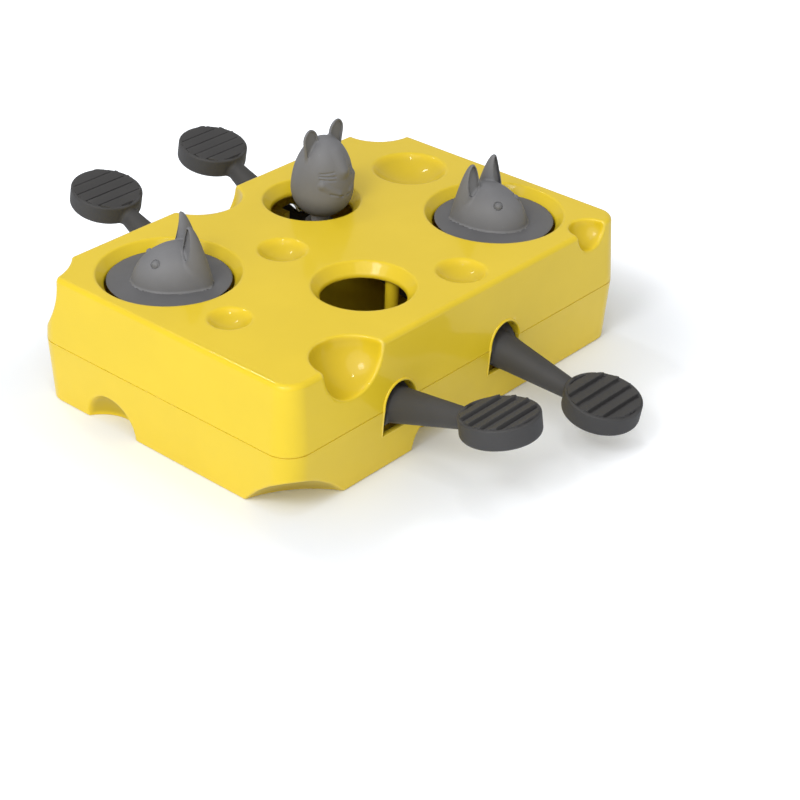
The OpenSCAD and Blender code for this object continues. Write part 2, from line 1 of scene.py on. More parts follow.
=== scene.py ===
"""Cheese-shaped puzzle feeder for cats, dressed over its packed CAD frame.

Each moulded piece is described by a field: a function that says how many millimetres a point lies outside
the piece. skin() lays a mesh on the surface where the field is zero, so that edges, lips and fillets are real
geometry. Sizes in the property groups are in metres, and everything inside the fields is in millimetres.
"""
import math

import bpy
import numpy as np
from bpy.props import FloatProperty, FloatVectorProperty, PointerProperty
from mathutils import Matrix, Vector


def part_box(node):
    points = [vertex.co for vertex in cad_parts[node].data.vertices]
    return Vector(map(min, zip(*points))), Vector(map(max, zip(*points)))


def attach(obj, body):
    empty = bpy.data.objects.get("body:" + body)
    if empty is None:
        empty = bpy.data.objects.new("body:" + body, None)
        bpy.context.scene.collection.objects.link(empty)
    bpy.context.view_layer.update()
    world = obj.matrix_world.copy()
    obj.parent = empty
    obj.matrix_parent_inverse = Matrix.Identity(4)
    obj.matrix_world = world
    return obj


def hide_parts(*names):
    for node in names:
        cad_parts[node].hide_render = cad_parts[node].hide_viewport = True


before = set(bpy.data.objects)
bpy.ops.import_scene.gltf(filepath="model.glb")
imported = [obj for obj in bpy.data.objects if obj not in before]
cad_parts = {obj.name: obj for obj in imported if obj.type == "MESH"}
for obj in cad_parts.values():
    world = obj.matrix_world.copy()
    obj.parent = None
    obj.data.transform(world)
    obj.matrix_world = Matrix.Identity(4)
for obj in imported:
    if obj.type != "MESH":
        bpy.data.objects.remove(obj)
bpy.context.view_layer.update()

bl_info = {
    "name": "Cheese puzzle feeder",
    "version": (1, 0, 0),
    "blender": (4, 5, 0),
    "location": "3D View > Sidebar > Feeder",
    "description": "Builds the looks of a cheese-shaped puzzle feeder over its CAD frame",
    "category": "Object",
}

MM = 1000.0  # millimetres in a metre

# The case, in millimetres, from its centre on the ground
HALF_LENGTH, HALF_WIDTH, HEIGHT, SEAM = 115.0, 79.0, 64.0, 31.0
CORNER, DRAFT, WALL = 12.0, 2.0, 2.4
LID_THROAT, SMALL_THROAT = 29.0, 19.4
LID_CHAMFER, SMALL_CHAMFER, CHAMFER_DEPTH, COLLAR_DEPTH = 4.0, 4.2, 5.2, 7.0
MOUSE_HOLE, TREAT_HOLE, MOUSE_FOOT = (24.31, 39.22), (-23.84, -37.14), (27.21, 36.22)
# Dents in the top: x, y, rim radius. Their depth is a share of that radius.
DENTS = [(-85.79, -16.04, 9.7), (-23.8, 12.48, 11.3), (16.68, -59.33, 11.5), (83.1, 28.4, 18.2)]
DENT_DEPTH = 0.45
# Balls that bite the top edge: x, y, z, radius
BITES = [(-74.0, -76.0, 63.2, 18.0), (90.7, -76.0, 63.2, 10.0), (-10.0, 81.0, 64.0, 20.7),
         (111.0, 74.0, 64.0, 19.0), (-118.6, 97.8, 59.8, 32.9)]
# Balls that hollow the foot, each made again with the case turned half round
FOOT_BALLS = [(s * x, s * y, z, r) for s in (1, -1) for x, y, z, r in
              [(-120.5, 32.6, 0.0, 17.3), (-20.0, -83.0, 0.0, 15.7), (-127.5, -104.6, -45.0, 71.9)]]
SCREWS = [(-103.04, -30.02), (-51.98, 68.02), (103.04, 30.02), (51.98, -68.02), (0.46, -33.02), (-0.46, 33.02)]
PADS = [(-63.25, -55.3), (-63.25, 55.3), (63.25, -55.3), (63.25, 55.3)]
PILLAR_TOP, PILLAR_BASE, CASE_BORE, CASE_BORE_TOP, SCREW_WELL = 3.3, 4.6, 1.55, 42.5, 3.1
PAD_SEAT, PAD_DEPTH = 7.02, 1.2
SEAM_EDGE, GROOVE_DEPTH = 0.12, 0.5
SLOT_HALF, SILL = 10.0, 18.0
SADDLE_INNER, SADDLE_THICK, SADDLE_REACH, KEEPER_OUTER, KEEPER_TOP = 9.0, 4.0, 4.0, 77.5, 44.0
PIVOT_Y, PIVOT_Z, PIN_SEAT, PIN_BORE = 70.0, 27.5, 2.03, 2.06

# The levers: name, pivot x, side (-1 front, 1 back), rise of the arm, tilt of the paddle, rise of the inner arm
LEVERS = {
    "front_left": (-46.0, -1, 12.9, 9.9, 0.0),
    "front_right": (26.0, -1, -7.3, -8.7, 11.7),
    "back_left": (-26.0, 1, 24.5, 11.1, -8.0),
    "back_right": (46.0, 1, 26.5, 9.6, 0.0),
}
ARM_ROOT, ARM_TIP, ARM_LENGTH, HUB_HALF = 9.0, 4.7, 46.8, 8.5
ARM_FLARE, FLARE_END, FLARE_LENGTH = 0.045, 1.4, 11.0  # how much wider than high the arm is in its slot
PADDLE_STEP, TREAD_DEPTH, RIB_HEIGHT, RIBS, RIM = 2.0, 1.2, 2.1, 5, 1.8
RIB_SHAPE = [0, 0.05, 0.13, 0.2, 0.8, 0.93, 1], [0.1, 0, 0, 0.55, 0.95, 1, 0.1]  # shares of pitch and height
END_RADIUS, END_THICK, ARM_WIDE, ARM_THICK = 7.0, 6.0, 9.0, 7.0
END_BORE, END_HEAD, END_CLEAR = 1.35, 2.8, 7.0  # the screw's bore and head, and the room above and below the pad

# The lids, the mice and the cup. A lying mouse looks along its own +X and a standing one along its own -Y.
# The skull: centre, radii, powers. An ear: foot, tip, swell, wall. An arm or nose: start, end, radius at each.
LID_THICK, COLUMN, SCREW_DEPTH = 3.0, 5.0, 7.5
SKULL = (-4.35, 0, -2.1), ((13.5, 21.6), 16.0, 19.0), (2.5, 1.87)
HEAD_EAR = (-10.7, 7.9, 0), (-7.7, 8.0, 28.0), 2.0, 0.7
EYE = (7.0, 6.2, 10.6)
LYING = (("left", 149.0, "front_left_seesaw"), ("right", -90.0, "back_right_seesaw"))  # side, heading, body
MOUSE_LEAN, STALK_GAP, STALK_RADIUS, STALK_TALL = 4.0, 4.0, 4.2, 12.0
MOUSE_TALL, MOUSE_RADIUS, BELLY_SHARE = 40.5, 15.0, 0.36
MOUSE_EAR, MOUSE_EAR_WIDEST, MOUSE_EAR_BACK = ((6.6, 0.4, 29.0), (9.8, 1.2, 46.3), 5.2, 1.0), 4.5, 2.5
ARM = (9.5, -8.6, 21.5), (3.4, -13.0, 16.9), 2.4, 2.1
NOSE = (0, -7.0, 34.5), (0, -12.2, 27.4), 1.6, 2.0
# Whiskers and belly folds scored into the standing mouse: start and end (x, z), width, depth
FACE_LINES = [((10.4, 27.2), (5.4, 27.9), 0.4, 0.4), ((10.8, 26.0), (5.0, 26.0), 0.4, 0.45),
              ((10.8, 24.6), (5.4, 24.2), 0.4, 0.4), ((7.6, 17.6), (1.8, 15.5), 0.5, 0.6)]
CUP_FOOT, CUP_FLARE, CUP_TALL, CUP_FLOOR, CUP_BOWL, CUP_SCREW = 11.4, 1.6, 9.0, 4.0, 9.8, 3.1

# The stage, in metres and degrees. The lamps: name, share of the power, place, width.
LAMPS = [("Broad lamp", 0.7, (-1.25, -0.5, 1.15), 2.2), ("Key lamp", 0.26, (-1.2, -0.2, 1.25), 0.5),
         ("Small top lamp", 0.04, (-0.3, -0.22, 1.45), 0.12), ("Back lamp", 0.06, (0.12, 0.85, 1.2), 0.16)]
LAMP_TARGET = (0, 0, 0.03)
FLOOR_REACH, SHADOW_FROM, GLOW_START, GLOW_END, GLOW = 6.0, (0.1, 0.064, 0.0), 0.03, 0.13, 0.5
AZIMUTH, ELEVATION, ROLL, DISTANCE = -48.092, 30.626, 0.831, 0.944371
TARGET, SHIFT = (-0.012515, -0.016517, 0.000633), (0.06938, -0.02134)


# ---------------------------------------------------------------- sizes and colours that a user would change

def linear(*levels):
    """A colour as screens write it, 0 to 255, in the linear values that shaders use."""
    shares = [level / 255 for level in levels]
    return tuple(s / 12.92 if s <= 0.04045 else ((s + 0.055) / 1.055) ** 2.4 for s in shares)


def size(label, note, millimetres, low, high):
    return FloatProperty(name=label, description=note, default=millimetres / MM, min=low / MM, max=high / MM,
                         unit="LENGTH", precision=5)


def share(label, note, value):
    return FloatProperty(name=label, description=note, default=value, min=0.0, max=1.0, subtype="FACTOR")


def tint(label, note, *levels):
    return FloatVectorProperty(name=label, description=note, default=linear(*levels), min=0.0, max=1.0,
                               size=3, subtype="COLOR")


class FEEDER_PG_case(bpy.types.PropertyGroup):
    """Sizes and colours of the two yellow shells."""
    top_edge: size("Top edge radius", "Radius of the rolled edge round the top", 2.5, 0.5, 4)
    base_edge: size("Base edge radius", "Radius of the edge round the base", 1.0, 0.3, 2)
    rim_radius: size("Rim radius", "Radius of the rims of dents, bites and holes", 0.5, 0.2, 1.2)
    slot_lip: size("Slot lip radius", "Radius of the inner edge of the lever slots", 0.35, 0.2, 1.2)
    slot_bead: size("Slot bead radius", "Radius of the bead round the lever slots", 0.7, 0.3, 1.0)
    seam_gap: size("Seam groove", "Height of the groove that the seam leaves on each shell", 0.25, 0.0, 0.6)
    yellow: tint("Shell yellow", "Colour of the moulded shells", 232, 201, 38)
    gloss: share("Shell roughness", "Roughness of the moulded shells", 0.36)
    grain: size("Grain", "Size of the fine moulded grain", 0.7, 0.1, 5)


class FEEDER_PG_levers(bpy.types.PropertyGroup):
    """Sizes and colours of the four press levers."""
    paddle_radius: size("Paddle radius", "Radius of the round paddles", 17.5, 15, 18)
    paddle_thick: size("Paddle thickness", "Thickness of the paddles", 10.0, 8, 10.5)
    paddle_rim: size("Rim edge radius", "Radius of the paddle's upper edge", 0.8, 0.2, 2)
    paddle_foot: size("Foot edge radius", "Radius of the paddle's lower edge", 2.6, 0.5, 4)
    charcoal: tint("Charcoal", "Colour of the levers", 62, 61, 61)
    matt: share("Lever roughness", "Roughness of the levers", 0.56)


class FEEDER_PG_figures(bpy.types.PropertyGroup):
    """Sizes and colours of the lids, the mice and the stalk."""
    eye_radius: size("Eye radius", "Radius of a lying mouse's eye", 1.9, 0.8, 3)
    lid_grey: tint("Lid grey", "Colour of the two lids", 98, 98, 100)
    mouse_grey: tint("Mouse grey", "Colour of the three mice", 114, 114, 116)
    stalk_grey: tint("Stalk grey", "Colour of the stalk", 150, 150, 152)
    soft: share("Mouse roughness", "Roughness of the mice", 0.5)


class FEEDER_PG_hardware(bpy.types.PropertyGroup):
    """Colours of the pins, screws and grip pads."""
    steel: tint("Pin steel", "Colour of the pivot pins", 190, 190, 192)
    zinc: tint("Screw zinc", "Colour of the plated screws", 172, 174, 178)
    rubber: tint("Pad rubber", "Colour of the grip pads", 214, 208, 184)


class FEEDER_PG_stage(bpy.types.PropertyGroup):
    """Floor, lamps and camera."""
    floor_tone: tint("Floor", "Colour of the floor", 244, 248, 255)
    key_watts: FloatProperty(name="Lamps", description="Power that the lamps take their shares of", default=23.5,
                             min=0.0, unit="POWER")
    sky: share("Sky light", "Brightness of the light from all round", 0.55)
    lens: FloatProperty(name="Lens", description="Focal length of the camera", default=91.444, min=20.0,
                        subtype="DISTANCE_CAMERA")


# ---------------------------------------------------------------- fields

def length2(a, b):
    return np.sqrt(a * a + b * b)


def length3(a, b, c):
    return np.sqrt(a * a + b * b + c * c)


def rounded_and(a, b, radius):
    """What two solids share, with the edge between them rounded."""
    return (np.minimum(np.maximum(a, b), -radius)
            + length2(np.maximum(a + radius, 0), np.maximum(b + radius, 0)))


def rounded_or(a, b, radius):
    """Two solids together, with a fillet between them."""
    return (np.maximum(np.minimum(a, b), radius)
            - length2(np.maximum(radius - a, 0), np.maximum(radius - b, 0)))


def rounded_cut(a, b, radius):
    """The first solid less the second, with the edge of the cut rounded."""
    return rounded_and(a, -b, radius)


def ball(p, x, y, z, radius):
    return length3(p[0] - x, p[1] - y, p[2] - z) - radius


def nearest_ball(p, balls, grow):
    """How far a point lies outside the nearest of some balls, each grown."""
    return np.minimum.reduce([ball(p, x, y, z, radius + grow) for x, y, z, radius in balls])


def upright(p, centre, radius):
    """An endless upright cylinder."""
    return length2(p[0] - centre[0], p[1] - centre[1]) - radius


def slab(p, low, high):
    """An upright-sided block."""
    middle = [(a + b) / 2 for a, b in zip(low, high)]
    half = [(b - a) / 2 for a, b in zip(low, high)]
    q = [np.abs(p[k] - middle[k]) - half[k] for k in range(3)]
    return np.maximum(np.maximum(q[0], q[1]), q[2])


def tapered_rod(p, start, end, r1, r2):
    """A rod from start to end whose radius goes from r1 to r2, with round ends."""
    a = np.array(start, float)
    d = np.array(end, float) - a
    t = np.clip(((p[0] - a[0]) * d[0] + (p[1] - a[1]) * d[1] + (p[2] - a[2]) * d[2]) / (d @ d), 0, 1)
    reach = length3(p[0] - a[0] - t * d[0], p[1] - a[1] - t * d[1], p[2] - a[2] - t * d[2])
    slope = (r1 - r2) / math.sqrt(d @ d)
    return (reach - (r1 + (r2 - r1) * t)) * math.sqrt(max(1 - slope * slope, 0.3))


def oval(p, centre, radii):
    """An oval ball. Each radius is one number, or the radii on the axis's two sides."""
    near, far = 0, 0
    for k in range(3):
        q = p[k] - centre[k]
        r = radii[k]
        if not np.isscalar(r):
            r = np.where(q < 0, r[0], r[1])
        near = near + (q / r) ** 2
        far = far + (q / (r * r)) ** 2
    near, far = np.sqrt(near), np.sqrt(far) + 1e-9
    return near * (near - 1) / far


def moved(p, at, turn):
    """Points seen from a place and a turned frame: turn is a 3 by 3 matrix whose columns are its axes."""
    q = [p[k] - at[k] for k in range(3)]
    return [q[0] * turn[0][k] + q[1] * turn[1][k] + q[2] * turn[2][k] for k in range(3)]


def turn_about(axis, degrees):
    return [list(row) for row in Matrix.Rotation(math.radians(degrees), 3, axis)]


def at_points(field, points):
    return field([points[:, 0], points[:, 1], points[:, 2]])


def gradient(field, points, step=0.03):
    """The way out of the piece at each point, from four samples."""
    total = np.zeros_like(points)
    for corner in ((1, -1, -1), (-1, -1, 1), (-1, 1, -1), (1, 1, 1)):
        c = np.array(corner, float)
        total += at_points(field, points + step * c)[:, None] * c
    return total / (4 * step)


def unit(v):
    return v / np.maximum(np.linalg.norm(v, axis=1), 1e-12)[:, None]


# ---------------------------------------------------------------- meshes from fields

def rungs(low, high, step, close=()):
    """Grid lines a step apart from low to high, closer within the stretches (from, to, step) of close."""
    lines = [low]
    while lines[-1] < high:
        here = lines[-1] + 1e-6
        reach = min([step] + [s for a, b, s in close if a <= here < b])
        lines.append(min([here + reach] + [a for a, b, s in close if here < a < here + reach]))
    return np.array(lines)


def crossings(field, grid, axes):
    """Where grid edges cross the surface: for each axis, the edges' low corners, the points and their normals."""
    found = []
    for axis in range(3):
        low, high = [slice(None)] * 3, [slice(None)] * 3
        low[axis], high[axis] = slice(None, -1), slice(1, None)
        a, b = grid[tuple(low)], grid[tuple(high)]
        corner = np.argwhere((a < 0) != (b < 0))
        fa, fb = a[tuple(corner.T)].astype(float), b[tuple(corner.T)].astype(float)
        start = np.stack([axes[k][corner[:, k]] for k in range(3)], 1)
        lo, hi = start[:, axis].copy(), axes[axis][corner[:, axis] + 1].copy()
        inside = fa < 0
        for _ in range(3):
            cut = lo + (hi - lo) * np.clip(fa / (fa - fb), 0.02, 0.98)
            start[:, axis] = cut
            f = at_points(field, start)
            same = (f < 0) == inside
            lo, fa = np.where(same, cut, lo), np.where(same, f, fa)
            hi, fb = np.where(same, hi, cut), np.where(same, fb, f)
        start[:, axis] = lo + (hi - lo) * np.clip(fa / np.where(fa == fb, 1, fa - fb), 0, 1)
        found.append((corner, start, unit(gradient(field, start)), inside))
    return found


PAIRS = (0, 0), (1, 1), (2, 2), (0, 1), (0, 2), (1, 2)  # of axes, for the sums of the normals' products


def net(field, axes):
    """Vertices and four-cornered faces on the surface, with creases where the field has them."""
    x, y, z = axes
    shape = (len(x), len(y), len(z))
    grid = np.empty(shape, np.float32)
    for k in range(0, shape[0], 24):  # a few layers at a time, to spare memory
        grid[k:k + 24] = field([x[k:k + 24, None, None], y[None, :, None], z[None, None, :]])
    inside = grid < 0
    cells = tuple(n - 1 for n in shape)
    corners = np.zeros(cells, np.int8)
    for corner in np.ndindex(2, 2, 2):
        corners += inside[tuple(slice(a, a + n) for a, n in zip(corner, cells))]
    mixed = (corners > 0) & (corners < 8)
    number = np.full(cells, -1, np.int64)
    count = int(mixed.sum())
    number[mixed] = np.arange(count)
    cell = np.argwhere(mixed)
    sums = np.zeros((13, count))
    faces = []
    for axis, (corner, point, normal, starts_in) in enumerate(crossings(field, grid, axes)):
        u, v = (axis + 1) % 3, (axis + 2) % 3
        reach = (normal * point).sum(1)
        facts = [normal[:, i] * normal[:, j] for i, j in PAIRS]
        facts += [normal[:, k] * reach for k in range(3)] + [point[:, k] for k in range(3)]
        facts.append(np.ones(len(point)))
        ring = []
        for du, dv in ((-1, -1), (0, -1), (0, 0), (-1, 0)):
            at = corner.copy()
            at[:, u] += du
            at[:, v] += dv
            there = ((at >= 0) & (at < cells)).all(1)
            index = np.full(len(at), -1, np.int64)
            index[there] = number[tuple(at[there].T)]
            ring.append(index)
            used = index >= 0
            for row, fact in enumerate(facts):
                sums[row] += np.bincount(index[used], fact[used], count)
        ring = np.stack(ring, 1)
        whole = (ring >= 0).all(1)
        faces.append(np.where(starts_in[whole, None], ring[whole], ring[whole][:, ::-1]))
    mean = (sums[9:12] / sums[12]).T
    a = np.empty((count, 3, 3))
    for row, (i, j) in enumerate(PAIRS):
        a[:, i, j] = a[:, j, i] = sums[row]
    rest = sums[6:9].T - np.einsum("nij,nj->ni", a, mean)
    values, vectors = np.linalg.eigh(a)
    keep = values > 0.06 * values[:, 2:3]  # flatter directions say nothing about where the vertex lies
    inverse = np.where(keep, 1 / np.where(keep, values, 1), 0)
    move = np.einsum("nij,nj->ni", vectors, inverse * np.einsum("nji,nj->ni", vectors, rest))
    low = np.stack([axes[k][cell[:, k]] for k in range(3)], 1)
    high = np.stack([axes[k][cell[:, k] + 1] for k in range(3)], 1)
    return np.clip(mean + move, low, high), np.concatenate(faces)


def settle(field, points, reach=0.3, rounds=2):
    """Moves points onto the surface, each by a short way at most."""
    for _ in range(rounds):
        slope = gradient(field, points)
        f = at_points(field, points)
        step = -f[:, None] * slope / np.maximum((slope ** 2).sum(1), 0.2)[:, None]
        far = np.linalg.norm(step, axis=1)
        points = points + step * np.minimum(1, reach / np.maximum(far, 1e-9))[:, None]
    return points


def get_points(mesh):
    """A mesh's vertices in millimetres."""
    points = np.empty(len(mesh.vertices) * 3, np.float32)
    mesh.vertices.foreach_get("co", points)
    return points.reshape(-1, 3).astype(float) * MM


def put_points(mesh, points):
    mesh.vertices.foreach_set("co", (points / MM).astype(np.float32).ravel())


def plain_mesh(name, points, faces):
    mesh = bpy.data.meshes.new(name)
    mesh.vertices.add(len(points))
    put_points(mesh, points)
    mesh.loops.add(faces.size)
    mesh.loops.foreach_set("vertex_index", faces.astype(np.int32).ravel())
    mesh.polygons.add(len(faces))
    mesh.polygons.foreach_set("loop_start", np.arange(0, faces.size, faces.shape[1], dtype=np.int32))
    mesh.update(calc_edges=True)
    mesh.validate()
    return mesh


def shade_smooth(mesh):
    mesh.polygons.foreach_set("use_smooth", np.ones(len(mesh.polygons), bool))


CREASE = 34.0  # degrees between a vertex's and a face's direction, from which the edge stays crisp


def smooth_corners(mesh, field):
    """Gives each face corner the surface's own direction, and keeps creases crisp."""
    points = settle(field, get_points(mesh), 0.25)
    put_points(mesh, points)
    at_vertex = unit(gradient(field, points))
    loops = np.empty(len(mesh.loops), np.int32)
    mesh.loops.foreach_get("vertex_index", loops)
    sides = np.empty(len(mesh.polygons), np.int32)
    mesh.polygons.foreach_get("loop_total", sides)
    owner = np.repeat(np.arange(len(sides)), sides)
    middle = np.stack([np.bincount(owner, points[loops, k]) for k in range(3)], 1) / sides[:, None]
    way = middle[owner] - points[loops]
    far = np.linalg.norm(way, axis=1)
    inner = points[loops] + way * (np.minimum(0.3, 0.3 * far) / np.maximum(far, 1e-9))[:, None]
    at_corner = unit(gradient(field, inner))
    normals = at_vertex[loops]
    crisp = (normals * at_corner).sum(1) < math.cos(math.radians(CREASE))
    normals[crisp] = at_corner[crisp]
    shade_smooth(mesh)
    mesh.normals_split_custom_set(normals.tolist())
    mesh.update()


def add_object(name, data):
    made = bpy.data.objects.new(name, data)
    bpy.context.scene.collection.objects.link(made)
    return made


def skin(name, field, axes, body, replaced, finish, keep):
    """Builds a piece from its field, keeps a share of its faces, dresses it and lets it stand for a CAD node."""
    points, faces = net(field, axes)
    points = settle(field, points, 0.2, 1)
    mesh = plain_mesh(name, points, faces)
    piece = add_object(name, mesh)
    piece.modifiers.new("Fewer faces", "DECIMATE").ratio = keep
    piece.data = bpy.data.meshes.new_from_object(piece.evaluated_get(bpy.context.evaluated_depsgraph_get()))
    piece.modifiers.clear()
    bpy.data.meshes.remove(mesh)
    piece.data.name = name
    smooth_corners(piece.data, field)
    piece.data.materials.clear()
    piece.data.materials.append(finish)
    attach(piece, body)
    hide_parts(replaced)
    return piece


def coarse(step):
    """A grid step, as it is given."""
    return step


def cad_corners(node):
    """The low and high corner of a CAD node's box, in millimetres."""
    low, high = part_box(node)
    return low * MM, high * MM


def box_grid(node, margin, step):
    """Grid lines round a CAD node, from margin before its box to margin past it."""
    return [rungs(a - margin, b + margin, coarse(step)) for a, b in zip(*cad_corners(node))]


# ---------------------------------------------------------------- finishes

class Value:
    """A socket in a finish, so that shader sums can be written as sums."""

    def __init__(self, finish, socket):
        self.finish, self.socket = finish, socket

    def maths(self, operation, *others):
        return self.finish.node("Math", {"operation": operation}, dict(enumerate((self,) + others)))

    def __add__(self, other):
        return self.maths("ADD", other)

    def __sub__(self, other):
        return self.maths("SUBTRACT", other)

    def __rsub__(self, other):
        return self.finish.node("Math", {"operation": "SUBTRACT"}, {0: other, 1: self})

    def __mul__(self, other):
        return self.maths("MULTIPLY", other)

    __radd__, __rmul__ = __add__, __mul__

    def ramp(self, low, high, start=0.0, end=1.0):
        """From start to end while this value goes from low to high."""
        return self.finish.node("MapRange", {"interpolation_type": "SMOOTHSTEP"},
                                {"Value": self, "From Min": low, "From Max": high, "To Min": start,
                                 "To Max": end}, "Result")


class Finish:
    """One material: its nodes, and the sockets of its shader."""

    def __init__(self, name):
        self.material = bpy.data.materials.new(name)
        self.material.use_nodes = True
        self.tree = self.material.node_tree
        self.shader = self.tree.nodes["Principled BSDF"]
        self.place = self.node("TexCoord", {}, {}, "Object")

    def node(self, kind, settings, sockets, output=0):
        """A node of any kind: settings come first, then its sockets' values or links."""
        made = self.tree.nodes.new("ShaderNode" + kind)
        for key, value in settings.items():
            setattr(made, key, value)
        for key, value in sockets.items():
            self.put(made.inputs[key], value)
        return Value(self, made.outputs[output])

    def put(self, socket, value):
        if isinstance(value, Value):
            self.tree.links.new(value.socket, socket)
        else:
            socket.default_value = value

    def set(self, **sockets):
        """Sets sockets of the shader by their names, with _ for a space."""
        for name, value in sockets.items():
            self.put(self.shader.inputs[name.replace("_", " ")], value)

    def noise(self, grain, detail=2.0, roughness=0.5, where=None):
        """Cloudy noise from 0 to 1 whose clouds are about grain metres wide."""
        return self.node("TexNoise", {}, {"Vector": where or self.place, "Scale": 1 / grain, "Detail": detail,
                                          "Roughness": roughness}, "Fac")

    def vector(self, operation, *values, output="Vector"):
        return self.node("VectorMath", {"operation": operation}, dict(enumerate(values)), output)

    def mix(self, factor, first, second):
        """A colour between two colours."""
        return self.node("Mix", {"data_type": "RGBA"}, {0: factor, 6: first, 7: second}, 2)

    def mottled(self, clouds, colour, darker, lighter):
        """A colour that goes from darker to lighter with the clouds."""
        return self.mix(clouds.ramp(0.35, 0.65), shade(colour, darker), shade(colour, lighter))

    def bump(self, height, depth, strength, over=None):
        """A bump as deep as depth metres where height goes from 0 to 1."""
        sockets = {"Height": height, "Distance": depth, "Strength": strength}
        if over is not None:
            sockets["Normal"] = over
        return self.node("Bump", {}, sockets, "Normal")

    def worn_edges(self, low=0.52, high=0.58):
        """From 0 on flat faces to 1 on outer edges."""
        return self.node("NewGeometry", {}, {}, "Pointiness").ramp(low, high)

    def hollows(self):
        """From 1 in inner corners to 0 elsewhere."""
        return self.node("NewGeometry", {}, {}, "Pointiness").ramp(0.44, 0.49, 1.0, 0.0)


def shade(colour, factor):
    return tuple(min(1.0, c * factor) for c in colour) + (1.0,)


def shell_finish(name, colour, gloss, grain):
    """Yellow moulded plastic with a satin gloss, and painted shade in its dents, bites and foot pockets."""
    f = Finish(name)
    flow = f.noise(0.06, 3.0)
    clouds = f.noise(0.012, 3.0)
    specks = f.noise(grain)
    body = f.mottled(flow, colour, 0.975, 1.015)
    body = f.mix(clouds.ramp(0.3, 0.7) * 0.25, body, shade(colour, 0.95))
    rubbed = f.worn_edges() * clouds.ramp(0.25, 0.6)
    body = f.mix(rubbed * 0.22, body, shade((1.0, 0.93, 0.55), 1.0))
    # Painted shade: the yellow darkens in dents, bites and foot pockets by the share stored in the attribute hollow
    hollow = f.node("Attribute", {"attribute_name": "hollow"}, {}, "Fac")
    body = f.mix(hollow * 0.2, body, shade(colour, 0.2))
    f.set(Base_Color=body, Roughness=gloss + clouds * 0.05 + specks * 0.04 - rubbed * 0.05,
          Normal=f.bump(specks, 0.00002, 0.35, f.bump(f.noise(0.018), 0.00012, 0.12)),
          Specular_IOR_Level=0.22, IOR=1.52, Coat_Weight=0.4, Coat_Roughness=0.08)
    return f.material


def lever_finish(name, colour, matt):
    """Charcoal moulded plastic with a fine matt texture."""
    f = Finish(name)
    flow = f.noise(0.02, 3.0)
    specks = f.noise(0.00045, 2.0, 0.6)
    dust = f.hollows() * f.noise(0.006, 3.0).ramp(0.4, 0.7)
    body = f.mottled(flow, colour, 0.94, 1.06)
    body = f.mix(f.worn_edges() * flow.ramp(0.35, 0.6) * 0.35, body, shade(colour, 1.6))
    body = f.mix(dust * 0.12, body, shade((0.35, 0.32, 0.28), 1.0))
    f.set(Base_Color=body, Roughness=matt + flow * 0.08 + specks * 0.06 + dust * 0.1,
          Normal=f.bump(specks, 0.00003, 0.5), Specular_IOR_Level=0.45)
    return f.material


def grey_finish(name, colour, soft, grain=0.0006, depth=0.00003):
    """Grey moulded plastic, between matt and satin."""
    f = Finish(name)
    flow = f.noise(0.015, 3.0)
    specks = f.noise(grain, 2.0, 0.6)
    body = f.mottled(flow, colour, 0.96, 1.04)
    body = f.mix(f.worn_edges(0.53, 0.62) * flow.ramp(0.3, 0.6) * 0.25, body, shade(colour, 1.35))
    f.set(Base_Color=body, Roughness=soft + flow * 0.08 + specks * 0.05,
          Normal=f.bump(specks, depth, 0.45), Specular_IOR_Level=0.45)
    return f.material


def steel_finish(name, colour, rough, along):
    """Drawn or plated steel: fine lines across the axis along, and light tarnish."""
    f = Finish(name)
    stretched = f.node("Mapping", {"vector_type": "POINT"}, {"Vector": f.place, "Scale": along}, "Vector")
    lines = f.noise(0.0004, where=stretched)
    tarnish = f.noise(0.003, 3.0).ramp(0.45, 0.75)
    body = f.mix(tarnish * 0.4, shade(colour, 1.0), shade(colour, 0.7))
    f.set(Base_Color=body, Metallic=1.0, Roughness=rough + lines * 0.12 + tarnish * 0.15,
          Normal=f.bump(lines, 0.00001, 0.4))
    return f.material


def rubber_finish(name, colour):
    """Pale rubber with a dimpled face and a little ground-in dust."""
    f = Finish(name)
    dimples = f.node("TexVoronoi", {"feature": "F1"}, {"Vector": f.place, "Scale": 900.0}, "Distance")
    dust = f.noise(0.002, 3.0).ramp(0.4, 0.75)
    f.set(Base_Color=f.mix(dust * 0.5, shade(colour, 1.0), shade(colour, 0.6)),
          Roughness=0.72 + dust * 0.15, Normal=f.bump(dimples, 0.00015, 0.8), Specular_IOR_Level=0.3)
    return f.material


# ---------------------------------------------------------------- case

def outline(p):
    """How far a point lies outside the case's outline at the seam."""
    qx, qy = np.abs(p[0]) - (HALF_LENGTH - CORNER), np.abs(p[1]) - (HALF_WIDTH - CORNER)
    return length2(np.maximum(qx, 0), np.maximum(qy, 0)) + np.minimum(np.maximum(qx, qy), 0) - CORNER


def dent_ball(x, y, rim):
    """The ball whose cap is a dent of that rim radius in the top, as x, y, z and radius."""
    depth = rim * DENT_DEPTH
    radius = (rim * rim + depth * depth) / (2 * depth)
    return x, y, HEIGHT - depth + radius, radius


DENT_BALLS = [dent_ball(*dent) for dent in DENTS]


def hole(p, at, throat, chamfer):
    """A round hole with a cone at its mouth, cut with its inner edge rounded."""
    rho = upright(p, at, throat)
    slope = chamfer / CHAMFER_DEPTH
    cone = (rho - slope * (p[2] - (HEIGHT - CHAMFER_DEPTH))) / math.sqrt(1 + slope * slope)
    return -rounded_and(-rho, -cone, 0.45)


def slot_outline(p, x):
    """How far a point lies outside the arched outline of the slot whose middle is at x."""
    across = np.abs(p[0] - x)
    arch = length2(across, p[2] - SEAM) - SLOT_HALF
    door = np.maximum(np.maximum(across - SLOT_HALF, SILL - p[2]), p[2] - SEAM)
    return np.minimum(arch, door)


def slots(p):
    """The arched slots of the four levers, from the pivots outwards."""
    found = 1e3
    for x, side, *_ in LEVERS.values():
        found = np.minimum(found, np.maximum(slot_outline(p, x), PIVOT_Y - side * p[1]))
    return found


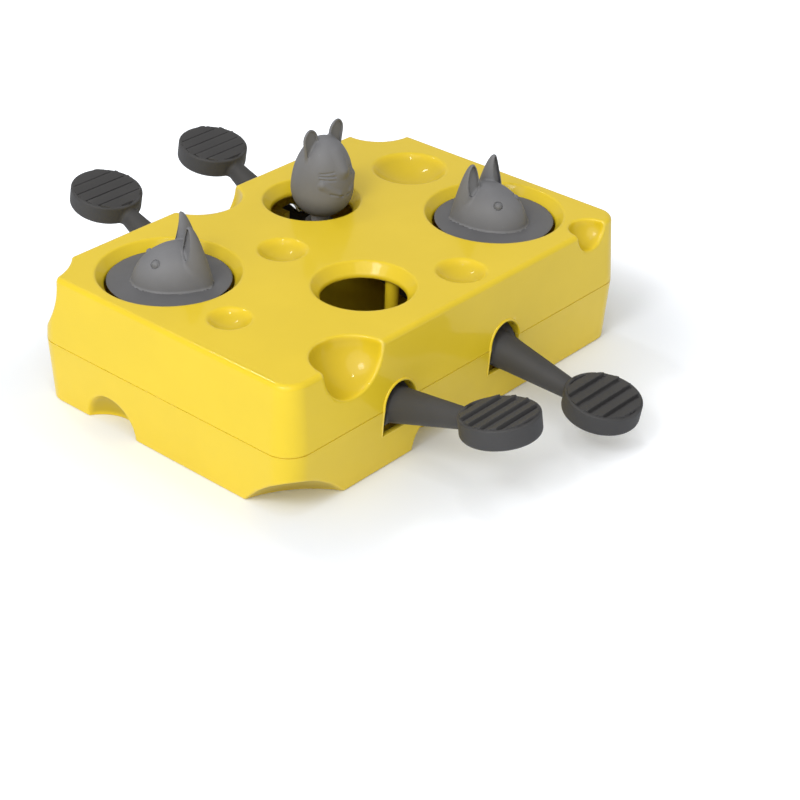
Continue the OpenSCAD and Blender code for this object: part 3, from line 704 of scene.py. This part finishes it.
def saddle_blocks(p, inner, outer, low, high):
    """The two blocks beside each lever's hub, from y inner to outer and z low to high, each with its side."""
    for x, side, *_ in LEVERS.values():
        y1, y2 = sorted((side * inner, side * outer))
        for reach in (-1, 1):
            middle = x + reach * (SADDLE_INNER + SADDLE_THICK / 2)
            yield side, slab(p, (middle - SADDLE_THICK / 2, y1, low), (middle + SADDLE_THICK / 2, y2, high))


def wall_at(z):
    """Half the width of the case at a height."""
    return HALF_WIDTH - DRAFT * (np.maximum(SEAM - z, 0) / SEAM + np.maximum(z - SEAM, 0) / (HEIGHT - SEAM - 2.5))


def slot_bead(x, side, radius):
    """Points and faces of the round bead on a slot's edge: full over the arch, thinner down the sides and below."""
    reach, bottom, count = SLOT_HALF + 0.55, SILL - 0.45, 12  # count: steps along each side, and round the bead
    turn = np.radians(np.linspace(0, 180, 41))
    rise = np.linspace(bottom, SEAM, count)[:-1]
    across = np.concatenate([np.full(count - 1, reach), reach * np.cos(turn), np.full(count - 1, -reach),
                             np.linspace(-reach, reach, count)[1:-1]])
    up = np.concatenate([rise, SEAM + reach * np.sin(turn), rise[::-1], np.full(count - 2, bottom)])
    thick = radius * np.interp(up - SEAM, [-4, 1], [0.6, 1.0])
    path = np.stack([x + across, side * (wall_at(up) - 0.1), up], 1)
    along = unit(np.roll(path, -1, 0) - np.roll(path, 1, 0))
    out = np.array([0.0, float(side), 0.0])
    beside = unit(np.cross(along, out))
    a = np.linspace(0, 2 * math.pi, count, endpoint=False)[None, :, None]
    rings = path[:, None] + thick[:, None, None] * (np.cos(a) * out + np.sin(a) * beside[:, None])
    k, j = np.meshgrid(np.arange(len(path)), np.arange(count), indexing="ij")
    k2, j2 = (k + 1) % len(path), (j + 1) % count
    faces = np.stack([k * count + j, k2 * count + j, k2 * count + j2, k * count + j2], -1).reshape(-1, 4)
    return rings.reshape(-1, 3), faces if side < 0 else faces[:, ::-1]


def lid_places():
    """Centres of the two lids, from the frame."""
    return [tuple(MM * (a + b) / 2 for a, b in zip(*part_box(n)))[:2] for n in ("left_lid", "right_lid")]


def case_top_field(sizes, lids):
    """The upper shell: an open box with pillars and keepers inside, then everything cut into it."""
    edge, rim = sizes.top_edge * MM, sizes.rim_radius * MM
    lip, gap = sizes.slot_lip * MM, sizes.seam_gap * MM
    holes = [(at, LID_THROAT, LID_CHAMFER) for at in lids]
    holes += [(MOUSE_HOLE, SMALL_THROAT, SMALL_CHAMFER), (TREAT_HOLE, SMALL_THROAT, SMALL_CHAMFER)]

    def field(p):
        z = p[2]
        side = outline(p) + DRAFT * np.clip((z - SEAM) / (HEIGHT - SEAM - edge), 0, 1)
        outer = rounded_and(side, z - HEIGHT, edge)
        inner = rounded_and(side + WALL, z - (HEIGHT - WALL), edge)
        body = np.maximum(outer, -inner)
        body = np.minimum(body, np.maximum(nearest_ball(p, BITES + DENT_BALLS, WALL), outer))
        for at, throat, chamfer in holes:
            around = np.maximum(hole(p, at, throat, chamfer) - WALL, (HEIGHT - COLLAR_DEPTH) - z)
            body = np.minimum(body, np.maximum(around, outer))
        for at in SCREWS:
            body = np.minimum(body, np.maximum(upright(p, at, PILLAR_TOP), z - (HEIGHT - 2)))
        for _, keeper in saddle_blocks(p, PIVOT_Y - SADDLE_REACH, KEEPER_OUTER, SEAM - 1, KEEPER_TOP):
            body = np.minimum(body, keeper)
        for at, throat, chamfer in holes:
            body = rounded_cut(body, hole(p, at, throat, chamfer), rim)
        for dent in DENT_BALLS:
            body = rounded_cut(body, ball(p, *dent), rim * 1.4)
        for bite in BITES:
            body = rounded_cut(body, ball(p, *bite), rim * 2)
        body = rounded_cut(body, slots(p), lip)
        for at in SCREWS:
            body = np.maximum(body, -np.maximum(upright(p, at, CASE_BORE), z - CASE_BORE_TOP))
        body = rounded_and(body, SEAM - z, SEAM_EDGE)
        groove = np.maximum(z - (SEAM + gap), -(side + GROOVE_DEPTH))
        return np.maximum(body, -groove)

    return field


def case_base_field(sizes):
    """The lower shell: a box with pillars and saddle posts inside, then everything cut into it."""
    edge, lip, gap = sizes.base_edge * MM, sizes.slot_lip * MM, sizes.seam_gap * MM
    rim = sizes.rim_radius * MM

    def field(p):
        z = p[2]
        side = outline(p) + DRAFT * np.clip((SEAM - z) / (SEAM - edge), 0, 1)
        outer = rounded_and(side, -z, edge)
        inner = rounded_and(side + WALL, WALL - z, edge)
        body = np.maximum(outer, -inner)
        body = np.minimum(body, np.maximum(nearest_ball(p, FOOT_BALLS, WALL), outer))
        for at in SCREWS:
            body = np.minimum(body, np.maximum(upright(p, at, PILLAR_BASE), 1 - z))
        for lever_side, post in saddle_blocks(p, PIVOT_Y - SADDLE_REACH, PIVOT_Y + SADDLE_REACH, 1, SEAM + 1):
            aside = p[1] - lever_side * PIVOT_Y
            seat = np.minimum(length2(aside, z - PIVOT_Z) - PIN_SEAT,
                              np.maximum(np.abs(aside) - PIN_SEAT, PIVOT_Z - z))
            body = np.minimum(body, np.maximum(post, -seat))
        for pocket in FOOT_BALLS:
            body = rounded_cut(body, ball(p, *pocket), rim)
        body = rounded_cut(body, slots(p), lip)
        for at in SCREWS:
            body = rounded_cut(body, np.maximum(upright(p, at, SCREW_WELL), z - SILL), 0.3)
            body = np.maximum(body, -upright(p, at, CASE_BORE))
        for at in PADS:
            body = np.maximum(body, -np.maximum(upright(p, at, PAD_SEAT), z - PAD_DEPTH))
        body = rounded_and(body, z - SEAM, SEAM_EDGE)
        groove = np.maximum((SEAM - gap) - z, -(side + GROOVE_DEPTH))
        return np.maximum(body, -groove)

    return field


def painted_shade_share(points):
    """How much painted shade each point gets from how deep it lies in a dent, bite or foot pocket: 0 on the faces,
    1 from 3 mm in, 2 in the pockets.
    """
    p = points.T
    near = np.min([np.abs(ball(p, *hollow)) for hollow in DENT_BALLS + BITES + FOOT_BALLS], axis=0)
    side = outline(p) + HALF_WIDTH - wall_at(p[2])
    depth = -np.maximum(np.maximum(side, p[2] - HEIGHT), -p[2])
    share = np.clip((depth - 0.2) / 2.8, 0, 1)
    return np.where(near < 0.7, share * share * (3 - 2 * share), 0) * np.where(p[2] < 20, 2, 1)


def paint_hollow_shade(piece):
    """Stores the share of painted shade on the piece, for its finish to darken its hollows."""
    shares = painted_shade_share(get_points(piece.data)).astype(np.float32)
    piece.data.attributes.new("hollow", "FLOAT", "POINT").data.foreach_set("value", shares)


def case_grid(low, high, close):
    """Grid lines for a shell: closer at the walls and along the stretches of close."""
    wide, over, under, fine = coarse(1.05), 1.3, 1.6, 0.45
    grid = [rungs(-half - over, half + over, wide, [(-half - over, -half + under, fine),
                                                    (half - under, half + over, fine)])
            for half in (HALF_LENGTH, HALF_WIDTH)]
    return grid + [rungs(low, high, wide, close)]


class FEEDER_OT_case_top(bpy.types.Operator):
    """Builds the upper yellow shell with its holes, dents, bites and slots."""
    bl_idname = "feeder.case_top"
    bl_label = "Case top"

    def execute(self, context):
        sizes = context.scene.feeder_case
        finish = shell_finish("Yellow moulded shell", sizes.yellow, sizes.gloss, sizes.grain)
        grid = case_grid(SEAM - 0.9, HEIGHT + 0.9,
                         [(SEAM - 0.9, SEAM + 0.1, 0.5), (SEAM + 0.1, SEAM + 0.7, 0.2), (SEAM + 0.7, SEAM + 2, 0.6),
                          (HEIGHT - 6, HEIGHT + 0.9, coarse(0.65))])
        paint_hollow_shade(skin("case_top", case_top_field(sizes, lid_places()), grid, "case", "top_shell", finish,
                          0.42))
        for name, (x, side, *_) in LEVERS.items():
            name = "slot_bead_" + name
            bead = add_object(name, plain_mesh(name, *slot_bead(x, side, sizes.slot_bead * MM)))
            shade_smooth(bead.data)
            bead.data.materials.append(finish)
            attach(bead, "case")
        return {"FINISHED"}


class FEEDER_OT_case_base(bpy.types.Operator):
    """Builds the lower yellow shell with its pockets, sills, screw wells and saddles."""
    bl_idname = "feeder.case_base"
    bl_label = "Case base"

    def execute(self, context):
        sizes = context.scene.feeder_case
        grid = case_grid(-0.9, SEAM + 0.9,
                         [(-0.9, 3.2, coarse(0.65)), (SEAM - 2, SEAM - 0.7, 0.6), (SEAM - 0.7, SEAM - 0.1, 0.2),
                          (SEAM - 0.1, SEAM + 0.9, 0.5)])
        paint_hollow_shade(skin("case_base", case_base_field(sizes), grid, "case", "bottom_shell",
                          bpy.data.materials["Yellow moulded shell"], 0.42))
        return {"FINISHED"}


# ---------------------------------------------------------------- levers

def tread(p, radius, half_thick, rim_edge, foot_edge):
    """A round paddle with its top towards +Z: a raised rim round saw-toothed ribs."""
    rho = length2(p[0], p[1])
    plate = rounded_and(rounded_and(rho - radius, -p[2] - half_thick, foot_edge), p[2] - half_thick, rim_edge)
    inner = radius - RIM
    floor = half_thick - TREAD_DEPTH
    plate = rounded_cut(plate, np.maximum(rho - inner, floor - p[2]), 0.35)
    pitch = 2 * inner / RIBS
    along = np.mod((inner - p[1]) / pitch, 1)
    top = floor + RIB_HEIGHT * np.interp(along, *RIB_SHAPE)
    ribs = np.maximum(np.maximum((p[2] - top) * 0.8, rho - inner - 0.6), floor - 0.5 - p[2])
    return np.minimum(plate, ribs)


def lever_ends():
    """Where each lever's inner end pad stands, seen from its pivot: (aside, along, up, lean)."""
    lids = lid_places()
    stand = {"front_left": lids[0], "front_right": MOUSE_FOOT, "back_left": TREAT_HOLE, "back_right": lids[1]}
    ends = {}
    for name, (x, side, _, _, inner) in LEVERS.items():
        aside, along = -side * (stand[name][0] - x), -side * stand[name][1] + PIVOT_Y
        if name == "front_right":
            along += (END_THICK / 2 + STALK_GAP) * math.sin(math.radians(MOUSE_LEAN))
        lean = {"front_right": MOUSE_LEAN, "back_left": inner}.get(name, 0.0)
        ends[name] = (aside, along, along * math.tan(math.radians(inner)), lean)
    return ends


def lever_field(name, sizes, end):
    """A lever: its arm and paddle outside, its hub on the pin, and its inner arm and end pad inside."""
    x, side, rise, tilt, inner_rise = LEVERS[name]
    radius, half_thick = sizes.paddle_radius * MM, sizes.paddle_thick * MM / 2
    rim_edge, foot_edge = sizes.paddle_rim * MM, sizes.paddle_foot * MM
    cr, sr = math.cos(math.radians(rise)), math.sin(math.radians(rise))
    ct, st = math.cos(math.radians(tilt)), math.sin(math.radians(tilt))
    centre = (0, -ARM_LENGTH * cr - radius * ct, ARM_LENGTH * sr + PADDLE_STEP + radius * st)
    paddle_turn, end_turn = turn_about("X", -tilt), turn_about("X", end[3])
    arm_turn = turn_about("X", inner_rise)
    run = end[1] / math.cos(math.radians(inner_rise))
    taper = (ARM_TIP - ARM_ROOT) / ARM_LENGTH
    clear = (END_THICK + END_CLEAR) / 2  # to the middle of the room over or under the pad
    seat = 13.5 if name == "back_left" else 7.5  # radius of the room over the pad, for what stands on it

    def field(p):
        q = [-side * (p[0] - x), -side * p[1] + PIVOT_Y, p[2] - PIVOT_Z]
        along = -q[1] * cr + q[2] * sr
        flare = 1 + ARM_FLARE * np.clip(FLARE_END - along / FLARE_LENGTH, 0, 1)
        off = length2(q[0] / flare, q[1] * sr + q[2] * cr)
        arm = (off - (ARM_ROOT + taper * np.clip(along, 0, ARM_LENGTH + 6))) * 0.996  # the taper's cosine
        arm = np.maximum(np.maximum(arm, -along), along - ARM_LENGTH - 4)  # it ends inside the paddle
        hub = rounded_and(length2(q[1], q[2]) - ARM_ROOT, np.abs(q[0]) - HUB_HALF, 0.6)
        t = moved(q, centre, paddle_turn)
        plate = tread(t, radius, half_thick, rim_edge, foot_edge)
        body = rounded_or(np.minimum(arm, hub), plate, 1.6)
        bowl = np.maximum(length2(t[0], t[1]) - (radius - RIM), half_thick - TREAD_DEPTH - t[2])
        body = np.where(bowl < 0, plate, body)
        r = moved(q, (0, 0, 0), arm_turn)
        lane = np.clip(r[1] / run, 0, 1) * end[0]
        inner = np.maximum(rounded_and(np.abs(r[0] - lane) - ARM_WIDE / 2, np.abs(r[2]) - ARM_THICK / 2, 0.8),
                           np.maximum(-r[1], r[1] - run))
        e = moved(q, end[:3], end_turn)
        pad = rounded_and(length2(e[0], e[1]) - END_RADIUS, np.abs(e[2]) - END_THICK / 2, 0.5)
        body = np.minimum(body, rounded_or(inner, pad, 0.8))
        body = np.maximum(body, -(length2(q[1], q[2]) - PIN_BORE))
        away = length2(e[0], e[1])
        body = np.maximum(body, -np.maximum(away - END_BORE, np.abs(e[2]) - 12))
        for reach, middle in ((END_HEAD, -clear), (seat, clear)):
            body = np.maximum(body, -np.maximum(away - reach, np.abs(e[2] - middle) - END_CLEAR / 2))
        return body

    return field


class FEEDER_OT_levers(bpy.types.Operator):
    """Builds the four levers with their round ribbed paddles."""
    bl_idname = "feeder.levers"
    bl_label = "Levers"

    def execute(self, context):
        sizes = context.scene.feeder_levers
        finish = lever_finish("Charcoal lever plastic", sizes.charcoal, sizes.matt)
        ends = lever_ends()
        for name in LEVERS:
            skin("lever_" + name, lever_field(name, sizes, ends[name]), box_grid(name + "_lever", 1, 0.7),
                 name + "_seesaw", name + "_lever", finish, 0.6)
        return {"FINISHED"}


# ---------------------------------------------------------------- lids and mice

def lid_field(at, bottom, top, radius):
    """A round plate with a bevelled edge on a column that a screw enters from below."""
    def field(p):
        rho = upright(p, at, 0)
        plate = (rho - radius - (p[2] - top)) / math.sqrt(2)
        plate = rounded_and(rounded_and(plate, p[2] - top, 0.35), top - LID_THICK - p[2], 0.4)
        column = rounded_and(rho - COLUMN, bottom - p[2], 0.4)
        column = np.maximum(column, p[2] - (top - 1))
        body = rounded_or(plate, column, 1.2)
        return np.maximum(body, -np.maximum(rho - END_BORE, p[2] - (bottom + SCREW_DEPTH)))

    return field


def cup_ear(p, foot, tip, swell, wall, front, depth, widest=0):
    """A cup-shaped ear from foot to tip, cut open where front is above zero and scooped out to depth behind it."""
    foot, tip = np.array(foot, float), np.array(tip, float)
    way = (foot - tip) / np.linalg.norm(foot - tip)
    q = [p[k] - tip[k] for k in range(3)]
    down = q[0] * way[0] + q[1] * way[1] + q[2] * way[2]
    square = np.maximum(q[0] ** 2 + q[1] ** 2 + q[2] ** 2 - down * down, 0)
    cup = (square - swell * down) / np.sqrt(4 * square + swell * swell)
    if widest:
        cup = rounded_and(cup, np.sqrt(square) - widest, 1.2)
    cup = np.maximum(cup, down - np.linalg.norm(foot - tip))
    return rounded_cut(rounded_and(cup, front, 0.4), np.maximum(cup + wall, -front - depth), 0.4)


def egg(q, centre, radii, powers):
    """An egg along its own X. Its first radius and its power have one number for each side of the centre."""
    u = q[0] - centre[0]
    reach = np.where(u < 0, radii[0][0], radii[0][1])
    power = np.where(u < 0, powers[0], powers[1])
    v, w = (q[1] - centre[1]) / radii[1], (q[2] - centre[2]) / radii[2]
    part = (np.abs(u) / reach) ** power
    total = np.sqrt(part + v * v + w * w) + 1e-6
    slope = length3(power * (np.abs(u) / reach) ** (power - 1) / reach / 2, v / radii[1], w / radii[2]) / total
    return (total - 1) / np.maximum(slope, 0.02)


def lying_mouse_field(at, top, heading, eye):
    """A mouse's head on its lid, nose along its own +X."""
    turn = turn_about("Z", heading)

    def field(p):
        q = moved(p, (at[0], at[1], top), turn)
        u, v, w = q
        side = np.abs(v)
        # The ears open towards the nose and a little outwards, and lean further back lower down
        front = u + 7.0 + 0.24 * (side - 8) - 0.0105 * np.maximum(28 - w, 0) ** 2
        ear = cup_ear([u, side, w], *HEAD_EAR, front, 1.2)
        body = rounded_or(egg(q, *SKULL), ear, 1.0)
        reach = ball([u, side, w], *EYE, 0)
        body = rounded_cut(body, np.abs(reach - (eye + 0.2)) - 0.1, 0.35)
        body = rounded_or(body, reach - eye, 0.2)
        body = rounded_or(body, w + 0.1, 1.2)
        return np.maximum(body, -w)

    return field


def scored(q, start, end, width, depth):
    """How deep a soft line from start to end, each (x, z), is scored into a face that looks along -Y."""
    run = (end[0] - start[0], end[1] - start[1])
    t = ((q[0] - start[0]) * run[0] + (q[2] - start[1]) * run[1]) / (run[0] ** 2 + run[1] ** 2)
    t = np.clip(t, 0, 1)
    off = length2(q[0] - start[0] - t * run[0], q[2] - start[1] - t * run[1])
    return np.where(q[1] < 0, depth * np.exp(-(off / width) ** 2), 0)


def mouse_frame():
    """Place and axes of the standing mouse: where its base is, and a turn whose third axis runs up its back."""
    ends = lever_ends()["front_right"]
    x = LEVERS["front_right"][0]
    lean = math.radians(MOUSE_LEAN)
    base = Vector((x + ends[0], -PIVOT_Y + ends[1], PIVOT_Z + ends[2]))
    up = Vector((0, -math.sin(lean), math.cos(lean)))
    return base + up * (END_THICK / 2), turn_about("X", MOUSE_LEAN)


def standing_mouse_field():
    """The mouse that stands on its stalk, facing its own -Y."""
    base, turn = mouse_frame()
    base = base + Vector([row[2] for row in turn]) * STALK_GAP
    full = MOUSE_TALL * BELLY_SHARE

    def field(p):
        q = moved(p, base, turn)
        side = [np.abs(q[0]), q[1], q[2]]
        body = oval(q, (0, 0, full), (MOUSE_RADIUS, MOUSE_RADIUS, (full, MOUSE_TALL - full)))
        front = 0.9 - q[1] - 0.06 * (46 - q[2])
        ear = cup_ear(side, *MOUSE_EAR, front, 0.7, MOUSE_EAR_WIDEST)
        ear = rounded_and(ear, q[1] - MOUSE_EAR_BACK, 1.0)
        body = rounded_or(body, ear, 1.0)
        body = rounded_or(body, tapered_rod(side, *ARM), 0.8)
        body = rounded_or(body, tapered_rod(q, *NOSE), 3.0)
        for line in FACE_LINES:
            body = body + scored(side, *line)
        peg = np.maximum(length2(q[0], q[1]) - (STALK_RADIUS + 0.02), q[2] - (STALK_TALL - STALK_GAP + 0.5))
        return np.maximum(np.maximum(body, -peg), -q[2])

    return field


class FEEDER_OT_lids(bpy.types.Operator):
    """Builds the two round lids with the columns that lift them."""
    bl_idname = "feeder.lids"
    bl_label = "Lids"

    def execute(self, context):
        figures = context.scene.feeder_figures
        finish = grey_finish("Dark grey lid plastic", figures.lid_grey, 0.5, 0.0005)
        for name, _, body in LYING:
            low, high = cad_corners(name + "_lid")
            at, radius = ((low[0] + high[0]) / 2, (low[1] + high[1]) / 2), (high[0] - low[0]) / 2
            grid = box_grid(name + "_lid", 1.2, 0.7)
            grid[2] = rungs(low[2] - 1.2, high[2] + 1.2, coarse(0.9), [(high[2] - 4, high[2] + 1, 0.45)])
            skin(name + "_lid_disc", lid_field(at, low[2], high[2], radius), grid, body, name + "_lid", finish,
                 0.5)
        return {"FINISHED"}


class FEEDER_OT_lying_mice(bpy.types.Operator):
    """Builds the two mouse heads that lie on the lids."""
    bl_idname = "feeder.lying_mice"
    bl_label = "Lying mice"

    def execute(self, context):
        figures = context.scene.feeder_figures
        finish = grey_finish("Grey mouse plastic", figures.mouse_grey, figures.soft)
        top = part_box("left_lid")[1][2] * MM
        for at, (name, heading, body) in zip(lid_places(), LYING):
            low, high = cad_corners(name + "_mouse_head")
            grid = box_grid(name + "_mouse_head", 2.5, 0.42)
            grid[2] = rungs(low[2] - 0.7, high[2] + 1.5, coarse(0.42))
            skin(name + "_mouse", lying_mouse_field(at, top, heading, figures.eye_radius * MM), grid, body,
                 name + "_mouse_head", finish, 0.7)
        return {"FINISHED"}


class FEEDER_OT_standing_mouse(bpy.types.Operator):
    """Builds the standing mouse and its stalk."""
    bl_idname = "feeder.standing_mouse"
    bl_label = "Standing mouse"

    def execute(self, context):
        figures = context.scene.feeder_figures
        skin("standing_mouse_body", standing_mouse_field(), box_grid("standing_mouse", 1.5, 0.45),
             "front_right_seesaw", "standing_mouse", bpy.data.materials["Grey mouse plastic"], 0.7)
        base, turn = mouse_frame()

        def stalk(p):
            q = moved(p, base, turn)
            rho = length2(q[0], q[1])
            rod = rounded_and(rho - STALK_RADIUS, np.abs(q[2] - STALK_TALL / 2) - STALK_TALL / 2, 0.3)
            return np.maximum(rod, -np.maximum(rho - END_BORE, q[2] - SCREW_DEPTH))

        skin("stalk_post", stalk, box_grid("mouse_stalk", 1, 0.5), "front_right_seesaw", "mouse_stalk",
             grey_finish("Pale grey stalk plastic", figures.stalk_grey, 0.45), 0.6)
        return {"FINISHED"}


class FEEDER_OT_treat_cup(bpy.types.Operator):
    """Builds the cup that lifts treats under the open hole."""
    bl_idname = "feeder.treat_cup"
    bl_label = "Treat cup"

    def execute(self, context):
        end = lever_ends()["back_left"]
        x = LEVERS["back_left"][0]
        turn = turn_about("X", end[3])

        def cup(p):
            q = [-(p[0] - x), -p[1] + PIVOT_Y, p[2] - PIVOT_Z]
            e = moved(q, end[:3], turn)
            rho, height = length2(e[0], e[1]), e[2] - END_THICK / 2
            wall = rho - (CUP_FOOT + CUP_FLARE * height / CUP_TALL)
            outer = rounded_and(rounded_and(wall, height - CUP_TALL, 0.7), -height, 1.0)
            inside = rho - (CUP_BOWL + CUP_FLARE * (height - CUP_FLOOR) / (CUP_TALL - CUP_FLOOR))
            body = rounded_cut(outer, rounded_and(inside, CUP_FLOOR - height, 1.6), 0.7)
            return np.maximum(body, -np.maximum(rho - END_BORE, height - CUP_SCREW))

        skin("treat_cup_bowl", cup, box_grid("treat_cup", 1, 0.6), "back_left_seesaw", "treat_cup",
             bpy.data.materials["Charcoal lever plastic"], 0.6)
        return {"FINISHED"}


# ---------------------------------------------------------------- small parts and stage

class FEEDER_OT_hardware(bpy.types.Operator):
    """Gives the pins, screws and grip pads their finishes."""
    bl_idname = "feeder.hardware"
    bl_label = "Pins, screws and pads"

    def execute(self, context):
        colours = context.scene.feeder_hardware
        pins = steel_finish("Drawn pin steel", colours.steel, 0.25, (0.05, 1.0, 1.0))
        screws = steel_finish("Plated screw steel", colours.zinc, 0.32, (1.0, 1.0, 0.05))
        pads = rubber_finish("Pale pad rubber", colours.rubber)
        kinds = (("_pin", pins, "pin_steel"), ("screw", screws, "screw_steel"), ("grip_pads", pads, "grip_rubber"))
        for name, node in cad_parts.items():
            for word, finish, slot in kinds:
                if word in name:
                    node.data.materials.clear()
                    node.data.materials.append(finish)
        return {"FINISHED"}


def aim(thing, place, target):
    """Puts a lamp at a place, looking at a point."""
    thing.location, thing.rotation_mode = place, "QUATERNION"
    thing.rotation_quaternion = (Vector(target) - Vector(place)).to_track_quat("-Z", "Y")


class FEEDER_OT_stage(bpy.types.Operator):
    """Sets up the floor, the lamps and the camera."""
    bl_idname = "feeder.stage"
    bl_label = "Stage"

    def execute(self, context):
        look, scene = context.scene.feeder_stage, context.scene
        scene.view_settings.view_transform = "Standard"
        world = bpy.data.worlds.new("Studio")
        scene.world = world
        world.use_nodes = True
        tree = world.node_tree
        # The camera sees a white room, and the feeder is lit by a dimmer one
        room, seen = tree.nodes["Background"], tree.nodes.new("ShaderNodeBackground")
        for light, strength in ((room, look.sky), (seen, 1.0)):
            light.inputs["Color"].default_value, light.inputs["Strength"].default_value = (1, 1, 1, 1), strength
        path, mix = tree.nodes.new("ShaderNodeLightPath"), tree.nodes.new("ShaderNodeMixShader")
        for k, socket in enumerate((path.outputs["Is Camera Ray"], room.outputs[0], seen.outputs[0])):
            tree.links.new(socket, mix.inputs[k])
        tree.links.new(mix.outputs[0], tree.nodes["World Output"].inputs["Surface"])

        floor = add_object("floor", bpy.data.meshes.new("floor"))
        corners = [(x * FLOOR_REACH, y * FLOOR_REACH, 0) for x, y in ((-1, -1), (1, -1), (1, 1), (-1, 1))]
        floor.data.from_pydata(corners, [], [(0, 1, 2, 3)])
        # The floor keeps its shadow near the case and goes over to white further off, for the camera only
        f = Finish("Studio floor")
        apart = f.vector("SUBTRACT", f.vector("ABSOLUTE", f.place), SHADOW_FROM)
        away = f.vector("LENGTH", f.vector("MAXIMUM", apart, (0.0, 0.0, 0.0)), output="Value")
        glow = away.ramp(GLOW_START, GLOW_END) * f.node("LightPath", {}, {}, "Is Camera Ray")
        f.set(Base_Color=tuple(look.floor_tone) + (1.0,), Roughness=0.9, Specular_IOR_Level=0.1,
              Emission_Color=f.mix(glow, (0.0, 0.0, 0.0, 1.0), (GLOW, GLOW, GLOW, 1.0)), Emission_Strength=1.0)
        floor.data.materials.append(f.material)

        for name, share_of_power, place, width in LAMPS:
            light = bpy.data.lights.new(name, "AREA")
            light.energy, light.shape, light.size = look.key_watts * share_of_power, "DISK", width
            aim(add_object(name, light), place, LAMP_TARGET)

        lens = bpy.data.cameras.new("Camera")
        lens.sensor_width, lens.lens = 36.0, look.lens
        lens.shift_x, lens.shift_y = SHIFT
        lens.clip_start, lens.clip_end = 0.01, 20.0
        azimuth, elevation, roll = (math.radians(angle) for angle in (AZIMUTH, ELEVATION, ROLL))
        back = Vector((math.sin(azimuth) * math.cos(elevation), -math.cos(azimuth) * math.cos(elevation),
                       math.sin(elevation)))
        right = Vector((math.cos(azimuth), math.sin(azimuth), 0))
        up = back.cross(right)
        right, up = right * math.cos(roll) + up * math.sin(roll), up * math.cos(roll) - right * math.sin(roll)
        camera = add_object("Camera", lens)
        camera.matrix_world = Matrix((right, up, back)).transposed().to_4x4()
        camera.location = Vector(TARGET) + back * DISTANCE
        scene.camera = camera
        return {"FINISHED"}


class FEEDER_PT_panel(bpy.types.Panel):
    """The feeder's steps and sizes in the sidebar."""
    bl_label = "Cheese puzzle feeder"
    bl_idname = "FEEDER_PT_panel"
    bl_space_type = "VIEW_3D"
    bl_region_type = "UI"
    bl_category = "Feeder"

    def draw(self, context):
        for step in STEPS:
            self.layout.operator(step.bl_idname)
        for name, group in GROUPS.items():
            box = self.layout.box()
            box.label(text=group.__doc__)
            for prop in group.__annotations__:
                box.prop(getattr(context.scene, name), prop)


STEPS = (FEEDER_OT_case_top, FEEDER_OT_case_base, FEEDER_OT_levers, FEEDER_OT_lids, FEEDER_OT_lying_mice,
         FEEDER_OT_standing_mouse, FEEDER_OT_treat_cup, FEEDER_OT_hardware, FEEDER_OT_stage)
GROUPS = {"feeder_case": FEEDER_PG_case, "feeder_levers": FEEDER_PG_levers, "feeder_figures": FEEDER_PG_figures,
          "feeder_hardware": FEEDER_PG_hardware, "feeder_stage": FEEDER_PG_stage}


def register():
    for made in (*GROUPS.values(), *STEPS, FEEDER_PT_panel):
        bpy.utils.register_class(made)
    for name, group in GROUPS.items():
        setattr(bpy.types.Scene, name, PointerProperty(type=group))


def unregister():
    for name in GROUPS:
        delattr(bpy.types.Scene, name)
    for made in (FEEDER_PT_panel, *reversed(STEPS), *reversed(list(GROUPS.values()))):
        bpy.utils.unregister_class(made)


def main():
    register()
    for step in STEPS:
        group, name = step.bl_idname.split(".")
        getattr(getattr(bpy.ops, group), name)()


if __name__ == "__main__":
    main()
